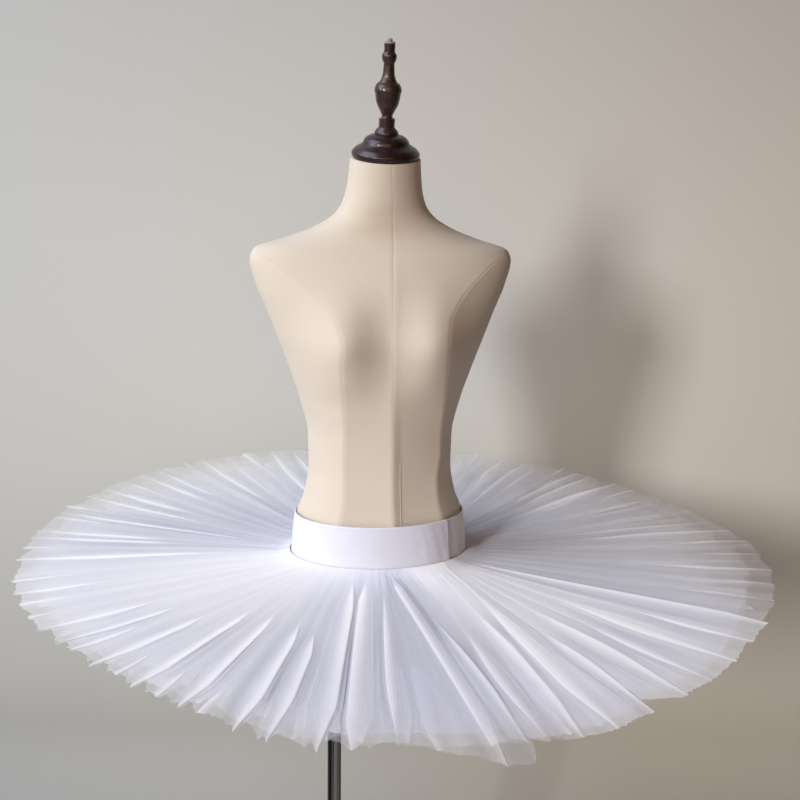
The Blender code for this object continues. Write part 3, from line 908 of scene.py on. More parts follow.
white_sateen = cloth_material(
    "white_sateen",
    dark=(0.59, 0.625, 0.73),
    light=(0.645, 0.68, 0.785),
    threads=2600.0,
    slub=0.4,
    bump=0.00006,
    seam_and_shade_color=(0.45, 0.43, 0.48),
    Roughness=0.55,
    Sheen_Weight=0.6,
    Sheen_Roughness=0.45,
    Specular_IOR_Level=0.2,
)

# across the wall: 0 is the inner face and 1 the outer; up the band: 0 is its foot and 1 its top
BAND_PROFILE = [(0.10, 0.5), (0.0, 0.45), (0.0, 0.012), (0.25, 0.0), (0.75, 0.0), (0.96, 0.010)]
BAND_PROFILE += [(1.0, share) for share in (0.03, 0.06, 0.10, 0.14, 0.22, 0.32, 0.42, 0.52, 0.62)]
BAND_PROFILE += [(1.0, share) for share in (0.72, 0.82, 0.88, 0.93, 0.965)]
BAND_PROFILE += [(0.96, 0.990), (0.75, 1.0), (0.25, 1.0), (0.0, 0.988), (0.0, 0.55)]


def band_ripple(azimuth, up):
    """Soft slanting tension folds in the sateen, deeper beside the join."""
    near_join = exp(-(((azimuth - BAND_JOIN) / 0.45) ** 2))
    wave = sin(9.0 * azimuth + 5.0 * up) + 0.6 * sin(17.0 * azimuth - 7.0 * up + 1.3)
    pulls = near_join * sin(46.0 * (azimuth - BAND_JOIN) + 6.0 * (up - 0.5))
    return BAND_RIPPLES * (0.5 * wave + 1.1 * pulls)


def weld(mesh, fill=False):
    """Merge a closed strip's doubled points, fill its open ends if asked, and face it outwards."""
    shape = bmesh.new()
    shape.from_mesh(mesh)
    bmesh.ops.remove_doubles(shape, verts=shape.verts, dist=0.00001)
    if fill:
        ends = [edge for edge in shape.edges if edge.is_boundary]
        bmesh.ops.holes_fill(shape, edges=ends, sides=60)
    bmesh.ops.recalc_face_normals(shape, faces=shape.faces)
    shape.to_mesh(mesh)
    shape.free()


rows, uvs, seam_and_shade_rows = [], [], []
for k in range(BAND_COLUMNS):
    azimuth = tau * k / BAND_COLUMNS - pi
    off_join = (azimuth - BAND_JOIN) * GIRTH
    under = ease(off_join, -0.0003, 0.0003) * (1 - ease(off_join, 0.10, 0.16))
    row, uv_row, seam_and_shade_row = [], [], []
    for out, up in BAND_PROFILE:
        z = BAND_FOOT + BAND_HEIGHT * up
        section = read_table(FORM_SECTIONS, z)
        inside = ease(up, 0.0, 0.1) * (1 - ease(up, 0.92, 1.0))
        grow = BAND_EASE + BAND_WALL * out
        if out > 0.5:
            grow += inside * band_ripple(azimuth, up) - FACE_INSET
            # past the join the strip lies under the other end, so it sits lower
            grow -= BAND_JOIN_STEP * under
            if off_join < 0:
                grow += BAND_END_STANDS_OFF * exp(off_join / 0.022)
            grow -= 0.0005 * exp(-((off_join / 0.0008) ** 2))
            # the row of stitches pulls the foot in
            grow -= 0.00035 * exp(-(((up - BAND_STITCHES) / 0.03) ** 2))
            # and the top edge is rolled
            grow += 0.00050 * exp(-(((up - BAND_ROLL) / 0.022) ** 2))
        row.append(form_point(section, azimuth, grow))
        # painted shade on the sateen before the join and a little past it, and a darker line at the
        # join itself
        shade = BAND_END_PAINTED_SHADE * ease(off_join, -0.048, -0.020) * (1 - ease(off_join, 0.06, 0.12))
        shade += 0.25 * exp(-((off_join / 0.0010) ** 2))
        seam_and_shade_row.append(shade if out > 0.5 else 0.0)
        uv_row.append((azimuth * GIRTH, z + 0.2 * (1 - out)))
    rows.append(row + row[:1])
    uvs.append(uv_row + uv_row[:1])
    seam_and_shade_rows.append(seam_and_shade_row + seam_and_shade_row[:1])
rows.append(rows[0])
uvs.append([(u + tau * GIRTH, v) for u, v in uvs[0]])
seam_and_shade_rows.append(seam_and_shade_rows[0])
band_mesh = grid_mesh("sateen_waistband", rows, white_sateen, False, uvs, {"seam": seam_and_shade_rows})
weld(band_mesh)
waistband = add_piece("sateen_waistband", band_mesh, ["waistband"])


# Stitches along any seam: a thread that shows as short raised dashes.
def make_stitch_tree():
    inputs = {"Geometry": "Geometry", "Spacing": "Float", "Stitch Length": "Float"}
    inputs.update({"Thread Radius": "Float", "Thread": "Material"})
    outputs = {"Geometry": "Geometry"}
    tree, given, result = new_group("thread_stitches", "GeometryNodeTree", inputs, outputs)
    seam = add_node(tree, "GeometryNodeMeshToCurve")
    spread = add_node(tree, "GeometryNodeResampleCurve", mode="LENGTH")
    dash = add_node(tree, "GeometryNodeMeshUVSphere", Segments=6, Rings=5, Radius=1.0)
    size = add_node(tree, "ShaderNodeCombineXYZ")
    half = add_node(tree, "ShaderNodeMath", operation="MULTIPLY")
    half.inputs[1].default_value = 0.5
    tangent = add_node(tree, "GeometryNodeInputTangent")
    align = add_node(tree, "FunctionNodeAlignRotationToVector", axis="X")
    sew = add_node(tree, "GeometryNodeInstanceOnPoints")
    real = add_node(tree, "GeometryNodeRealizeInstances")
    finish = add_node(tree, "GeometryNodeSetMaterial")
    wire(
        tree,
        (given, "Geometry", seam, "Mesh"),
        (seam, "Curve", spread, "Curve"),
        (given, "Spacing", spread, "Length"),
        (given, "Stitch Length", half, 0),
        (half, "Value", size, "X"),
        (given, "Thread Radius", size, "Y"),
        (given, "Thread Radius", size, "Z"),
        (tangent, "Tangent", align, "Vector"),
        (spread, "Curve", sew, "Points"),
        (dash, "Mesh", sew, "Instance"),
        (align, "Rotation", sew, "Rotation"),
        (size, "Vector", sew, "Scale"),
        (sew, "Instances", real, "Geometry"),
        (real, "Geometry", finish, "Geometry"),
        (given, "Thread", finish, "Material"),
        (finish, "Geometry", result, "Geometry"),
    )
    return tree


stitch_tree = make_stitch_tree()

white_thread, tree = new_material("white_thread")
shader = principled(tree, Roughness=0.6, Sheen_Weight=0.3)
where = add_node(tree, "ShaderNodeTexCoord")
twist = add_node(tree, "ShaderNodeTexNoise", Scale=2500.0, Detail=2.0)
tint = add_node(
    tree, "ShaderNodeMix", data_type="RGBA", A=(0.78, 0.78, 0.80), B=(0.92, 0.92, 0.94)
)
ply = add_node(tree, "ShaderNodeBump", Strength=0.5, Distance=0.0001)
wire(
    tree,
    (where, "Object", twist, "Vector"),
    (twist, "Fac", tint, "Factor"),
    (tint, "Result", shader, "Base Color"),
    (twist, "Fac", ply, "Height"),
    (ply, "Normal", shader, "Normal"),
)


THREAD_RADIUS = 0.00030


def sew(name, path, slot, spacing=0.004, length=0.0028):
    """A row of stitches along a path of points, as a plain mesh piece."""
    line = bpy.data.meshes.new(name + "_path")
    line.from_pydata(path, [(i, i + 1) for i in range(len(path) - 1)], [])
    carrier = bpy.data.objects.new(name + "_path", line)
    scene.collection.objects.link(carrier)
    rule = carrier.modifiers.new("stitches", "NODES")
    rule.node_group = stitch_tree
    values = {
        "Spacing": spacing,
        "Stitch Length": length,
        "Thread Radius": THREAD_RADIUS,
        "Thread": white_thread,
    }
    for item in stitch_tree.interface.items_tree:
        if item.in_out == "INPUT" and item.name in values:
            rule[item.identifier] = values[item.name]
    evaluated = carrier.evaluated_get(bpy.context.evaluated_depsgraph_get())
    mesh = bpy.data.meshes.new_from_object(evaluated)
    mesh.name = name
    mesh.shade_smooth()
    bpy.data.objects.remove(carrier, do_unlink=True)
    add_piece(name, mesh)


def band_line(up, azimuths):
    """Points on the band's outer face, a share of the way up it."""
    section = read_table(FORM_SECTIONS, BAND_FOOT + BAND_HEIGHT * up)
    out = BAND_EASE + BAND_WALL - FACE_INSET
    return [form_point(section, azimuth, out) for azimuth in azimuths]


foot_row = band_line(BAND_STITCHES, [tau * k / 240 - pi for k in range(241)])
sew("band_foot_stitches", foot_row, "band")
join_row = [band_line(0.05 + 0.9 * k / 20, [BAND_JOIN - 0.022])[0] for k in range(21)]
sew("band_join_stitches", join_row, "band", spacing=0.0035, length=0.0024)

# ------------------------------------------------------------------ knickers
# The net is sewn to plain stretch knickers, which hide under it. They are a tube of white jersey
# with an elastic leg edge and a gusset strip that runs between the legs.
KNICKER_EASE = 0.0012
KNICKER_WALL = 0.0015
KNICKER_TOP = 0.9020
KNICKER_COLUMNS = 160
LEG_SIDE = 0.838
LEG_CENTRE = 0.8050
LEG_HEM = 0.007
KNICKER_GIRTH = 0.13
GUSSET_HALF_WIDTH = 0.028

white_jersey = cloth_material(
    "white_jersey",
    dark=(0.76, 0.76, 0.78),
    light=(0.86, 0.86, 0.88),
    threads=1900.0,
    slub=0.3,
    bump=0.00010,
    seam_and_shade_color=(0.55, 0.55, 0.58),
    Roughness=0.85,
    Sheen_Weight=0.2,
    Specular_IOR_Level=0.25,
)


def leg_line(azimuth):
    """Height of the knickers' lower edge: low in the middle, high at the sides."""
    return LEG_CENTRE + (LEG_SIDE - LEG_CENTRE) * ease(abs(sin(azimuth)), 0.0, 0.85)


KNICKER_PROFILE = [(0.0, 1.0), (0.0, 0.5), (0.0, 0.03), (0.3, 0.0), (0.8, 0.0)]
KNICKER_PROFILE += [(1.0, share) for share in (0.03, 0.07, 0.10, 0.14, 0.2, 0.3, 0.42, 0.55)]
KNICKER_PROFILE += [(1.0, share) for share in (0.7, 0.85, 1.0)]
rows, uvs, seam_and_shade_rows = [], [], []
for k in range(KNICKER_COLUMNS + 1):
    azimuth = tau * k / KNICKER_COLUMNS - pi
    lowest = leg_line(azimuth)
    row, uv_row, seam_and_shade_row = [], [], []
    for out, up in KNICKER_PROFILE:
        z = lowest + (KNICKER_TOP - lowest) * up
        section = read_table(FORM_SECTIONS, z)
        grow = KNICKER_EASE + (KNICKER_WALL - FACE_INSET) * out
        above_hem = z - lowest - LEG_HEM
        # the elastic hem is thicker and ruched, and its stitching sinks in
        hem = 1 - ease(above_hem, -0.001, 0.001)
        ruche = 0.00025 * sin(110.0 * azimuth) * hem
        sunk = 0.0005 * exp(-((above_hem / 0.0012) ** 2))
        if out > 0.5:
            grow += 0.0004 * hem + ruche - sunk
        row.append(form_point(section, azimuth, grow))
        seam_and_shade_row.append(0.6 * exp(-((above_hem / 0.0015) ** 2)) if out > 0.5 else 0.0)
        uv_row.append((azimuth * KNICKER_GIRTH, z + 0.2 * (1 - out)))
    rows.append(row + row[:1])
    uvs.append(uv_row + uv_row[:1])
    seam_and_shade_rows.append(seam_and_shade_row + seam_and_shade_row[:1])
knicker_mesh = grid_mesh("jersey_knickers", rows, white_jersey, False, uvs, {"seam": seam_and_shade_rows})
weld(knicker_mesh)
knickers = add_piece("jersey_knickers", knicker_mesh, ["knickers"])

gusset_path = []
gusset_heights = [LEG_CENTRE - 0.0003, 0.8030, 0.8005, 0.7980, 0.7960, 0.7945, 0.7925, 0.7900]
for azimuth in (0.0, pi):
    side = [form_point(read_table(FORM_SECTIONS, z), azimuth) for z in gusset_heights]
    gusset_path += side if azimuth == 0.0 else reversed(side)
gusset_outer = []
for i, point in enumerate(gusset_path):
    before = gusset_path[max(i - 1, 0)]
    after = gusset_path[min(i + 1, len(gusset_path) - 1)]
    run = (after - before).normalized()
    out = Vector((0.0, run.z, -run.y))
    gusset_outer.append((point, out))
rows, uvs, seam_and_shade_rows = [], [], []
edge_shares = [-1.0, -0.97, -0.90, -0.80, -0.5, 0.0, 0.5, 0.80, 0.90, 0.97, 1.0]
length = 0.0
for i, (point, out) in enumerate(gusset_outer):
    if i:
        length += (point - gusset_outer[i - 1][0]).length
    outer_row, inner_row = [], []
    for share in edge_shares:
        roll = 0.0003 * (1 - ease(abs(share), 0.90, 1.0)) + 0.0009
        place = point + Vector((GUSSET_HALF_WIDTH * share, 0.0, 0.0))
        outer_row.append(place + out * (KNICKER_EASE + roll))
        inner_row.append(place + out * KNICKER_EASE)
    rows.append(outer_row + inner_row[::-1] + outer_row[:1])
    around = [GUSSET_HALF_WIDTH * share for share in edge_shares]
    uvs.append([(u, length) for u in around + around[::-1] + around[:1]])
    marks = [0.5 if 0.78 < abs(share) < 0.92 else 0.0 for share in edge_shares]
    seam_and_shade_rows.append(marks + [0.0] * len(edge_shares) + marks[:1])
gusset_mesh = grid_mesh("jersey_gusset", rows, white_jersey, False, uvs, {"seam": seam_and_shade_rows})
weld(gusset_mesh, fill=True)
gusset = add_piece("jersey_gusset", gusset_mesh, ["knickers_gusset"])

# ------------------------------------------------------------------ net layers
# Long strips of stiff white net are gathered at one edge and sewn round the knickers, the longest
# at the top. Knife folds run out from the seam, lap over themselves and end in points at the hem.
PLATE_Z = 0.9000
NET_ROOT_OUT = 0.0033               # the seam's distance from the form
HemPoint = namedtuple("HemPoint", "azimuth radius rise")
HEM = [HemPoint(*row) for row in (
    (-160, 0.541, 0.008),
    (-138, 0.547, 0.005),
    (-112, 0.532, -0.002),
    (-90, 0.511, -0.008),
    (-68, 0.490, 0.000),
    (-48, 0.482, 0.009),
    (-30, 0.496, 0.007),
    (-16, 0.513, -0.002),
    (-4, 0.506, -0.005),
    (8, 0.512, -0.008),
    (18, 0.530, -0.006),
    (30, 0.531, 0.000),
    (45, 0.533, 0.005),
    (62, 0.544, 0.009),
    (82, 0.553, 0.009),
    (100, 0.547, 0.001),
    (122, 0.539, 0.000),
    (148, 0.544, 0.003),
    (174, 0.538, 0.003),
)]

# The folds that show at the front, one by one, each a straight line on the table: their azimuths at
# the hem and at the seam; where the lap begins; its width and height; which way it lies; its point
# past the hem; how lit the net beside it is painted, from 0, painted shade where one sees down
# between the plies; and how far the next swath's hem is set back beside it.
Fold = namedtuple("Fold", "hem root begins width height lean tip pale step")
FRONT_FOLDS = [Fold(*row) for row in (
    (-83.9, -85.0, 0.72, 0.006, 0.0035, 1, 0.003, 0.85, 0.004),
    (-78.0, -80.0, 0.62, 0.007, 0.0040, 1, 0.004, 0.95, 0.010),
    (-72.4, -75.5, 0.72, 0.006, 0.0035, -1, 0.003, 1.00, 0.006),
    (-67.5, -71.5, 0.82, 0.005, 0.0030, 1, 0.002, 0.95, 0.004),
    (-61.8, -67.5, 0.54, 0.009, 0.0045, 1, 0.006, 1.00, 0.012),
    (-55.6, -64.0, 0.50, 0.009, 0.0045, 1, 0.008, 0.85, 0.011),
    (-52.4, -62.5, 0.66, 0.007, 0.0030, 1, 0.004, 1.00, 0.004),
    (-46.7, -60.5, 0.50, 0.014, 0.0045, 1, 0.012, 0.95, 0.014),
    (-42.6, -59.0, 0.76, 0.007, 0.0025, 1, 0.003, 0.95, 0.004),
    (-38.5, -57.0, 0.34, 0.016, 0.0050, 1, 0.010, 0.90, 0.017),
    (-34.8, -55.0, 0.78, 0.008, 0.0030, 1, 0.006, 0.80, 0.006),
    (-30.8, -52.5, 0.32, 0.017, 0.0050, 1, 0.009, 0.85, 0.015),
    (-27.0, -48.5, 0.78, 0.007, 0.0030, -1, 0.003, 0.70, 0.004),
    (-23.0, -43.5, 0.34, 0.016, 0.0050, 1, 0.012, 0.65, 0.019),
    (-19.0, -36.5, 0.38, 0.014, 0.0045, 1, 0.012, 0.55, 0.017),
    (-13.6, -27.0, 0.02, 0.018, 0.0055, 1, 0.016, 0.45, 0.014),
    (-8.7, -16.5, 0.04, 0.024, 0.0050, -1, 0.011, 0.50, 0.006),
    (-4.2, -3.0, 0.06, 0.008, 0.0040, -1, 0.001, 0.25, 0.002),
    (6.8, 1.4, 0.05, 0.032, 0.0050, -1, 0.004, 0.35, 0.002),
    (9.6, 9.0, 0.24, 0.008, 0.0040, 1, 0.006, 0.45, 0.010),
    (12.4, 27.0, 0.36, 0.009, 0.0027, -1, 0.002, 0.70, 0.002),
    (15.6, 42.0, 0.22, 0.013, 0.0027, 1, 0.002, 0.85, 0.003),
    (20.6, 49.0, 0.16, 0.014, 0.0030, -1, 0.003, 0.95, 0.002),
    (25.5, 51.5, 0.46, 0.009, 0.0024, 1, 0.001, 0.95, 0.030),
    (31.2, 54.0, 0.32, 0.011, 0.0025, 1, 0.001, 1.00, 0.004),
    (36.5, 56.2, 0.52, 0.007, 0.0021, -1, 0.001, 0.95, 0.003),
    (42.8, 58.4, 0.36, 0.011, 0.0028, -1, 0.003, 1.00, 0.006),
    (48.9, 60.6, 0.58, 0.007, 0.0025, -1, 0.001, 0.95, 0.003),
    (54.0, 63.2, 0.02, 0.024, 0.0064, 1, 0.004, 0.25, 0.007),
    (62.2, 69.5, 0.60, 0.006, 0.0035, 1, 0.002, 0.45, 0.003),
    (68.0, 75.0, 0.70, 0.005, 0.0030, 1, 0.001, 0.50, 0.002),
    (74.1, 80.0, 0.56, 0.008, 0.0035, -1, 0.004, 0.40, 0.005),
    (79.8, 84.5, 0.66, 0.005, 0.0030, 1, 0.002, 0.45, 0.002),
)]

# share is a layer's reach next to the top one's, and root_drop and hem_drop are how far below it
# the seam and the hem lie. fullest is the most net it has in any direction, because light has to
# pass between the lower ones, and gather is how high its finest gathers stand.
NetLayer = namedtuple("NetLayer", "share root_drop hem_drop rings fullest gather")
TOP_OUTER = NetLayer(1.000, 0.000, 0.0000, 26, 2.1, 0.0008)
TOP_UNDER = NetLayer(0.955, 0.000, 0.0012, 26, 2.1, 0.0008)
SECOND = NetLayer(0.940, 0.012, 0.0150, 22, 1.6, 0.0022)
THIRD = NetLayer(0.860, 0.024, 0.0300, 18, 0.9, 0.0028)
FOURTH = NetLayer(0.760, 0.036, 0.0450, 16, 0.8, 0.0034)

# The net in each direction: how much there is, because the strips were drawn up tighter in some
# places, and how white its inner half is painted, next to its outer: painted shade where one sees
# down between the plies.
NetBody = namedtuple("NetBody", "azimuth body inner")
NET_BODY = [NetBody(*row) for row in (
    (-180.0, 0.55, 0.6),
    (-125.0, 0.75, 0.6),
    (-104.0, 1.20, 0.7),
    (-85.0, 2.10, 0.9),
    (-62.0, 1.80, 0.9),
    (-40.0, 1.40, 0.9),
    (-18.0, 1.00, 0.6),
    (0.0, 0.80, 0.5),
    (12.0, 0.85, 0.6),
    (24.0, 1.90, 1.0),
    (50.0, 2.00, 1.0),
    (56.0, 1.30, 0.9),
    (62.0, 0.74, 0.9),
    (95.0, 0.50, 0.7),
    (140.0, 0.42, 0.5),
    (180.0, 0.55, 0.6),
)]


def hem_at(azimuth):
    """Radius and rise of the top net's hem at an azimuth in degrees, read smoothly."""
    first = HEM[0].azimuth
    turn = (azimuth - first) % 360.0 + first
    looped = [HEM[-1]._replace(azimuth=HEM[-1].azimuth - 360)] + HEM
    looped += [row._replace(azimuth=row.azimuth + 360) for row in HEM[:2]]
    return read_table(looped, turn)


def swung(hem_azimuth):
    """Folds leave the sides of the band and swing towards the middle front and back."""
    return hem_azimuth + 17.0 * sin(radians(2 * hem_azimuth))


def seam_at(section, azimuth):
    """The point of the seam in a direction (radians), as seen from the pole."""
    turn = azimuth
    for _ in range(12):
        point = form_point(section, turn, NET_ROOT_OUT)
        off = azimuth - atan2(point.x, -point.y)
        turn += 0.8 * ((off + pi) % (2 * pi) - pi)
    return form_point(section, turn, NET_ROOT_OUT)


HEM_STEPS = (0.001, 0.002, 0.004, 0.007, 0.011, 0.016)  # how far a swath's hem may be set back
FOLD_BEGINS = (0.12, 0.3, 0.42, 0.55, 0.66, 0.76)       # and where a fold may begin


def random_folds(chance, start, end, spacing, width, height, tip, pale):
    """Folds from one hem azimuth to another, in degrees, each unlike the next."""
    folds = []
    place = start
    while place < end - 0.45 * spacing:
        begins = chance.choice(FOLD_BEGINS) + chance.uniform(-0.06, 0.06)
        folds.append(
            Fold(
                place,
                swung(place),
                begins,
                width * chance.uniform(0.5, 1.7),
                height * chance.uniform(0.65, 1.15),
                chance.choice((-1, 1, 1)),
                tip * chance.uniform(0.1, 1.2),
                chance.uniform(*pale),
                chance.choice(HEM_STEPS),
            )
        )
        place += spacing * chance.uniform(0.6, 1.45)
    return folds


# A fold lapped towards increasing azimuth, from one side to the other: how far across its width,
# and how high. It swells slowly from one swath and drops steeply to the next.
LAP = [
    (-1.00, -0.02),
    (-0.60, 0.10),
    (-0.20, 0.32),
    (0.15, 0.58),
    (0.50, 0.84),
    (0.76, 0.98),
    (0.92, 1.00),
    (1.02, 0.90),
    (1.08, 0.66),
    (1.13, 0.36),
    (1.20, 0.12),
    (1.32, 0.00),
]
LAP_ENDS = (1.10, 1.42)             # where the swaths begin, before and past a lap, in its widths
SWATH_COLUMNS = 16                  # an even number, because the finest gathers rise on every other
CREASE_BEGINS = (0.3, 0.8)          # each swath has a soft crease, from between these shares out
CREASE_HEIGHTS = (0.0004, 0.0010)
UNEVENNESS = 0.0001
HEM_JAG = 0.0012
SWATH_ARCH = 0.0020                 # a swath swells up or hangs down by this much at the hem
LAP_LOW = 0.0001
LAP_FLATNESS = 0.34
LAP_ROOM = 0.35                     # the most of the way to its neighbour that a lap may take
TIP_SPREAD = 0.006                  # how soon the hem leaves a fold's point
PUCKER_HEIGHT = 0.0003              # small uneven puckers near the seam
LAP_WIDEST = 0.72                   # where along itself a lap is widest
HEM_SHADE = 0.35                    # painted shade: the net's colour greys towards the hem, where fewer plies back it
VALLEY_SHADE = 0.30                 # and painted shade beside a lap's edge, where the next swath dives under it
VALLEY_WIDTH = 0.012
HEM_THIN = 0.34                     # by the hem the strip is hardly drawn up, and lies single
LAP_CLOSER = 2.0                    # a lap is folded on itself: two plies more than a swath
BAND_COVERED = 0.0050               # how far the top net's seam rides up the band
GATHERED_BY = 0.06                  # the gathers stand at their height this soon past the seam
POINTS_BEGIN = 0.84                 # the points and set-back steps lie in the last of the sheet
LAP_NARROWS = 0.75                  # the most a lap loses of its width by the hem
HELD_OPEN = 0.6                     # a fold that runs up to the band opens sooner, by this power
UNDER_PLY_HANGS = -0.25             # an under ply's height beneath a lap, next to the lap's own

# one column of points across a strip: its fold, and its place and height across the lap, or else
# its share of the way across the swath with the swath's arch and crease
NetColumn = namedtuple("NetColumn", "fold aside up swath arch lift crease_from")


def sheet_columns(folds, chance, lapped):
    """A strip's columns of points round the hem, fold by fold: its lap, then the swath past it."""
    columns = []
    for i, fold in enumerate(folds):
        lap = LAP if fold.lean > 0 else [(-aside, up) for aside, up in reversed(LAP)]
        for aside, up in lap:
            if not lapped:
                # an under ply passes below the lap, and only swells a little
                aside = (aside + 0.4 * fold.lean) * 0.5 + 0.1
                up = UNDER_PLY_HANGS
            columns.append(NetColumn(i, aside, up, None, 0.0, 0.0, 0.0))
        arch = chance.uniform(-1.0, 1.0)
        crease = 2 * chance.choice(range(1, SWATH_COLUMNS // 2))
        crease_from = chance.uniform(*CREASE_BEGINS)
        crease_height = chance.uniform(*CREASE_HEIGHTS)
        for k in range(1, SWATH_COLUMNS):
            lift = crease_height * max(1 - abs(k - crease) / 2, 0.0)
            lift += chance.uniform(-UNEVENNESS, UNEVENNESS)
            columns.append(NetColumn(i, 0.0, 0.0, k / SWATH_COLUMNS, arch, lift, crease_from))
    if not lapped:
        # keep an under ply's columns in order round the hem
        columns.sort(key=lambda column: (column.fold, column.swath or 0.0, column.aside))
    return columns


def fold_lines(folds, layer, root_section):
    """Each fold's ends seen from above, at the seam and the hem, and the first one's again."""
    lines = []
    for fold in folds:
        hem = radians(fold.hem)
        reach = hem_at(fold.hem).radius * layer.share
        seam = seam_at(root_section, radians(fold.root))
        lines.append((Vector((seam.x, seam.y)), Vector((reach * sin(hem), -reach * cos(hem)))))
    return lines + lines[:1]


def laps_at(share, folds, places, lines):
    """How wide and high each lap is on one ring, with room left for its neighbours."""
    laps = []
    for i, fold in enumerate(folds):
        widest = min(max(LAP_WIDEST, fold.begins + 0.25), 0.99)
        grows = ease(share, fold.begins, widest)
        if fold.begins < 0.10:
            grows **= HELD_OPEN
        ends = 1 - LAP_NARROWS * ease(share, widest, 1.05)
        gaps = (places[i + 1] - places[i], places[i] - places[i - 1])
        if i == 0:
            gaps = (gaps[0], places[-1] - places[-2])
        room = min(gaps) * lines[i][0].lerp(lines[i][1], share).length
        width = max(fold.width * grows * ends, 0.0006 + 0.0008 * share)
        height = LAP_LOW + LAP_FLATNESS * fold.height * grows * (0.6 + 0.4 * ends)
        laps.append((min(width, LAP_ROOM * room), height))
    return laps + laps[:1]


def net_sheet(folds, layer, seed, lapped=True, lower=0.0, wander_by=0.0, flap=None, tucked=False):
    """One strip of net: rows of points from hem to seam, its cut's (u, v), gathering, and painted
    light and shade.

    Without laps it is an under ply that follows the same folds, and lower is how far it sinks.
    wander_by is how far its hem leaves the top layer's, and flap lengthens part of it. tucked
    brings its seam up over the foot of the waistband.
    """
    chance = random.Random(seed)
    columns = sheet_columns(folds, chance, lapped)
    hems = [fold.hem for fold in folds] + [folds[0].hem + 360.0]
    jags = [chance.uniform(-HEM_JAG, HEM_JAG) for _ in columns]
    tucks = [chance.uniform(-1.0, 1.0) for _ in columns]
    root_z = PLATE_Z - layer.root_drop
    root_section = read_table(FORM_SECTIONS, root_z - 0.003)
    lines = fold_lines(folds, layer, root_section)
    rows, uvs, gathers, painted_light_rows = [], [], [], []
    for ring in range(layer.rings + 1):
        share = 1 - (ring / layer.rings) ** 1.15
        places = []
        for hem, (seam, tip) in zip(hems, lines):
            on_line = seam.lerp(tip, share)
            swing = atan2(on_line.x, -on_line.y) - radians(hem)
            places.append(radians(hem) + (swing + pi) % (2 * pi) - pi)
        laps = laps_at(share, folds, places, lines)
        row, gather_row, painted_light_row = [], [], []
        for c, (i, aside, up, swath, arch, lift, crease_from) in enumerate(columns):
            fold = folds[i]
            following = folds[(i + 1) % len(folds)]
            turn = places[i]
            hem = hem_at(hems[i] if swath is None else hems[i] + (hems[i + 1] - hems[i]) * swath)
            wander = sin(3.0 * turn + 1.0) + 0.7 * sin(11.0 * turn)
            reach_hem = hem.radius * layer.share + wander_by * wander
            seam = lines[i][0].lerp(lines[i + 1][0], swath or 0.0)
            reach = seam.length + (reach_hem - seam.length) * share
            room = (places[i + 1] - turn) * reach

            width, height = laps[i]
            if swath is None:
                azimuth = turn + aside * width / reach
                lifted = height * up * ease(width, 0.0004, 0.0030)
                corner = max(1 - abs(aside * fold.lean - 0.95) * 0.9, 0.0)
                reach += fold.tip * ease(share, POINTS_BEGIN, 1.0) * corner
                # how far a column is folded over: it covers more, and is painted whiter as painted
                # light
                folded = max(up, 0.0) ** 1.5 * ease(width, 0.0006, 0.0065)
                pale = fold.pale
            else:
                next_width, next_height = laps[i + 1]
                start = LAP_ENDS[fold.lean > 0] * width
                end = room - LAP_ENDS[following.lean < 0] * next_width
                place = start + (end - start) * swath
                azimuth = turn + place / reach
                belly = sin(pi * swath)
                lifted = -0.10 * (height * (1 - swath) + next_height * swath)
                lifted += SWATH_ARCH * arch * belly * ease(share, 0.45, 1.0)
                crease = ease(share, crease_from, crease_from + 0.2)
                crease *= 1 - 0.5 * ease(share, 0.85, 1.0)
                lifted += lift * crease
                # the strip is as long here as at its hem, so what the round can't take stands in
                # gathers, every other column up and the next one down
                fullness = max(reach_hem / reach, 1.0)
                gather = min((end - start) / SWATH_COLUMNS * sqrt(fullness**2 - 1), layer.gather)
                side = 0.5 if round(swath * SWATH_COLUMNS) % 2 else -0.5
                lifted += side * gather * ease(share, 0.0, GATHERED_BY)
                # the hem curves out to the point at each side, and is set back beside a lap's edge
                near = fold.tip * exp(-swath * room / TIP_SPREAD) * 0.8
                near += following.tip * exp(-(1 - swath) * room / TIP_SPREAD) * 0.8
                back = (1 - swath) if fold.lean > 0 else swath
                near -= fold.step * back ** 1.3
                reach += near * ease(share, POINTS_BEGIN, 1.0)
                folded = 0.0
                pale = fold.pale + (following.pale - fold.pale) * swath
                # painted shade beside a lap's edge, where the next swath dives under it
                if fold.lean > 0:
                    beside = exp(-(place - start) / VALLEY_WIDTH) * ease(width, 0.002, 0.010)
                    pale *= 1 - VALLEY_SHADE * beside
                if following.lean < 0:
                    beside = exp(-(end - place) / VALLEY_WIDTH) * ease(next_width, 0.002, 0.010)
                    pale *= 1 - VALLEY_SHADE * beside
            if lapped:
                reach += jags[c] * ease(share, 0.9, 1.0)
            if flap:
                off = degrees(azimuth)
                longer = ease(off, flap.begins, flap.full) * (1 - ease(off, flap.full, flap.ends))
                reach += flap.length * longer * ease(share, 0.55, 1.0)
            if swath is not None:
                lifted += PUCKER_HEIGHT * tucks[c] * (1 - ease(share, 0.0, 0.30))
            point = Vector((reach * sin(azimuth), -reach * cos(azimuth), 0.0))
            point.z = root_z + (PLATE_Z - layer.hem_drop + hem.rise - root_z) * share
            point.z += lifted - lower - (1 - share) * share * hem.rise
            if tucked:
                point.z += BAND_COVERED * (1 - ease(share, 0.0, 0.035))
            row.append(point)
            turned = (degrees(azimuth) + 180.0) % 360.0 - 180.0
            net_here = read_table(NET_BODY, turned)
            thin = 1 - HEM_THIN * ease(share, 0.80, 0.98)
            body = min(net_here.body, layer.fullest)
            gather_row.append(body * thin * reach_hem / reach * (1 + LAP_CLOSER * folded))
            # painted shade towards the hem
            pale *= 1 - HEM_SHADE * ease(share, 0.45, 1.0)
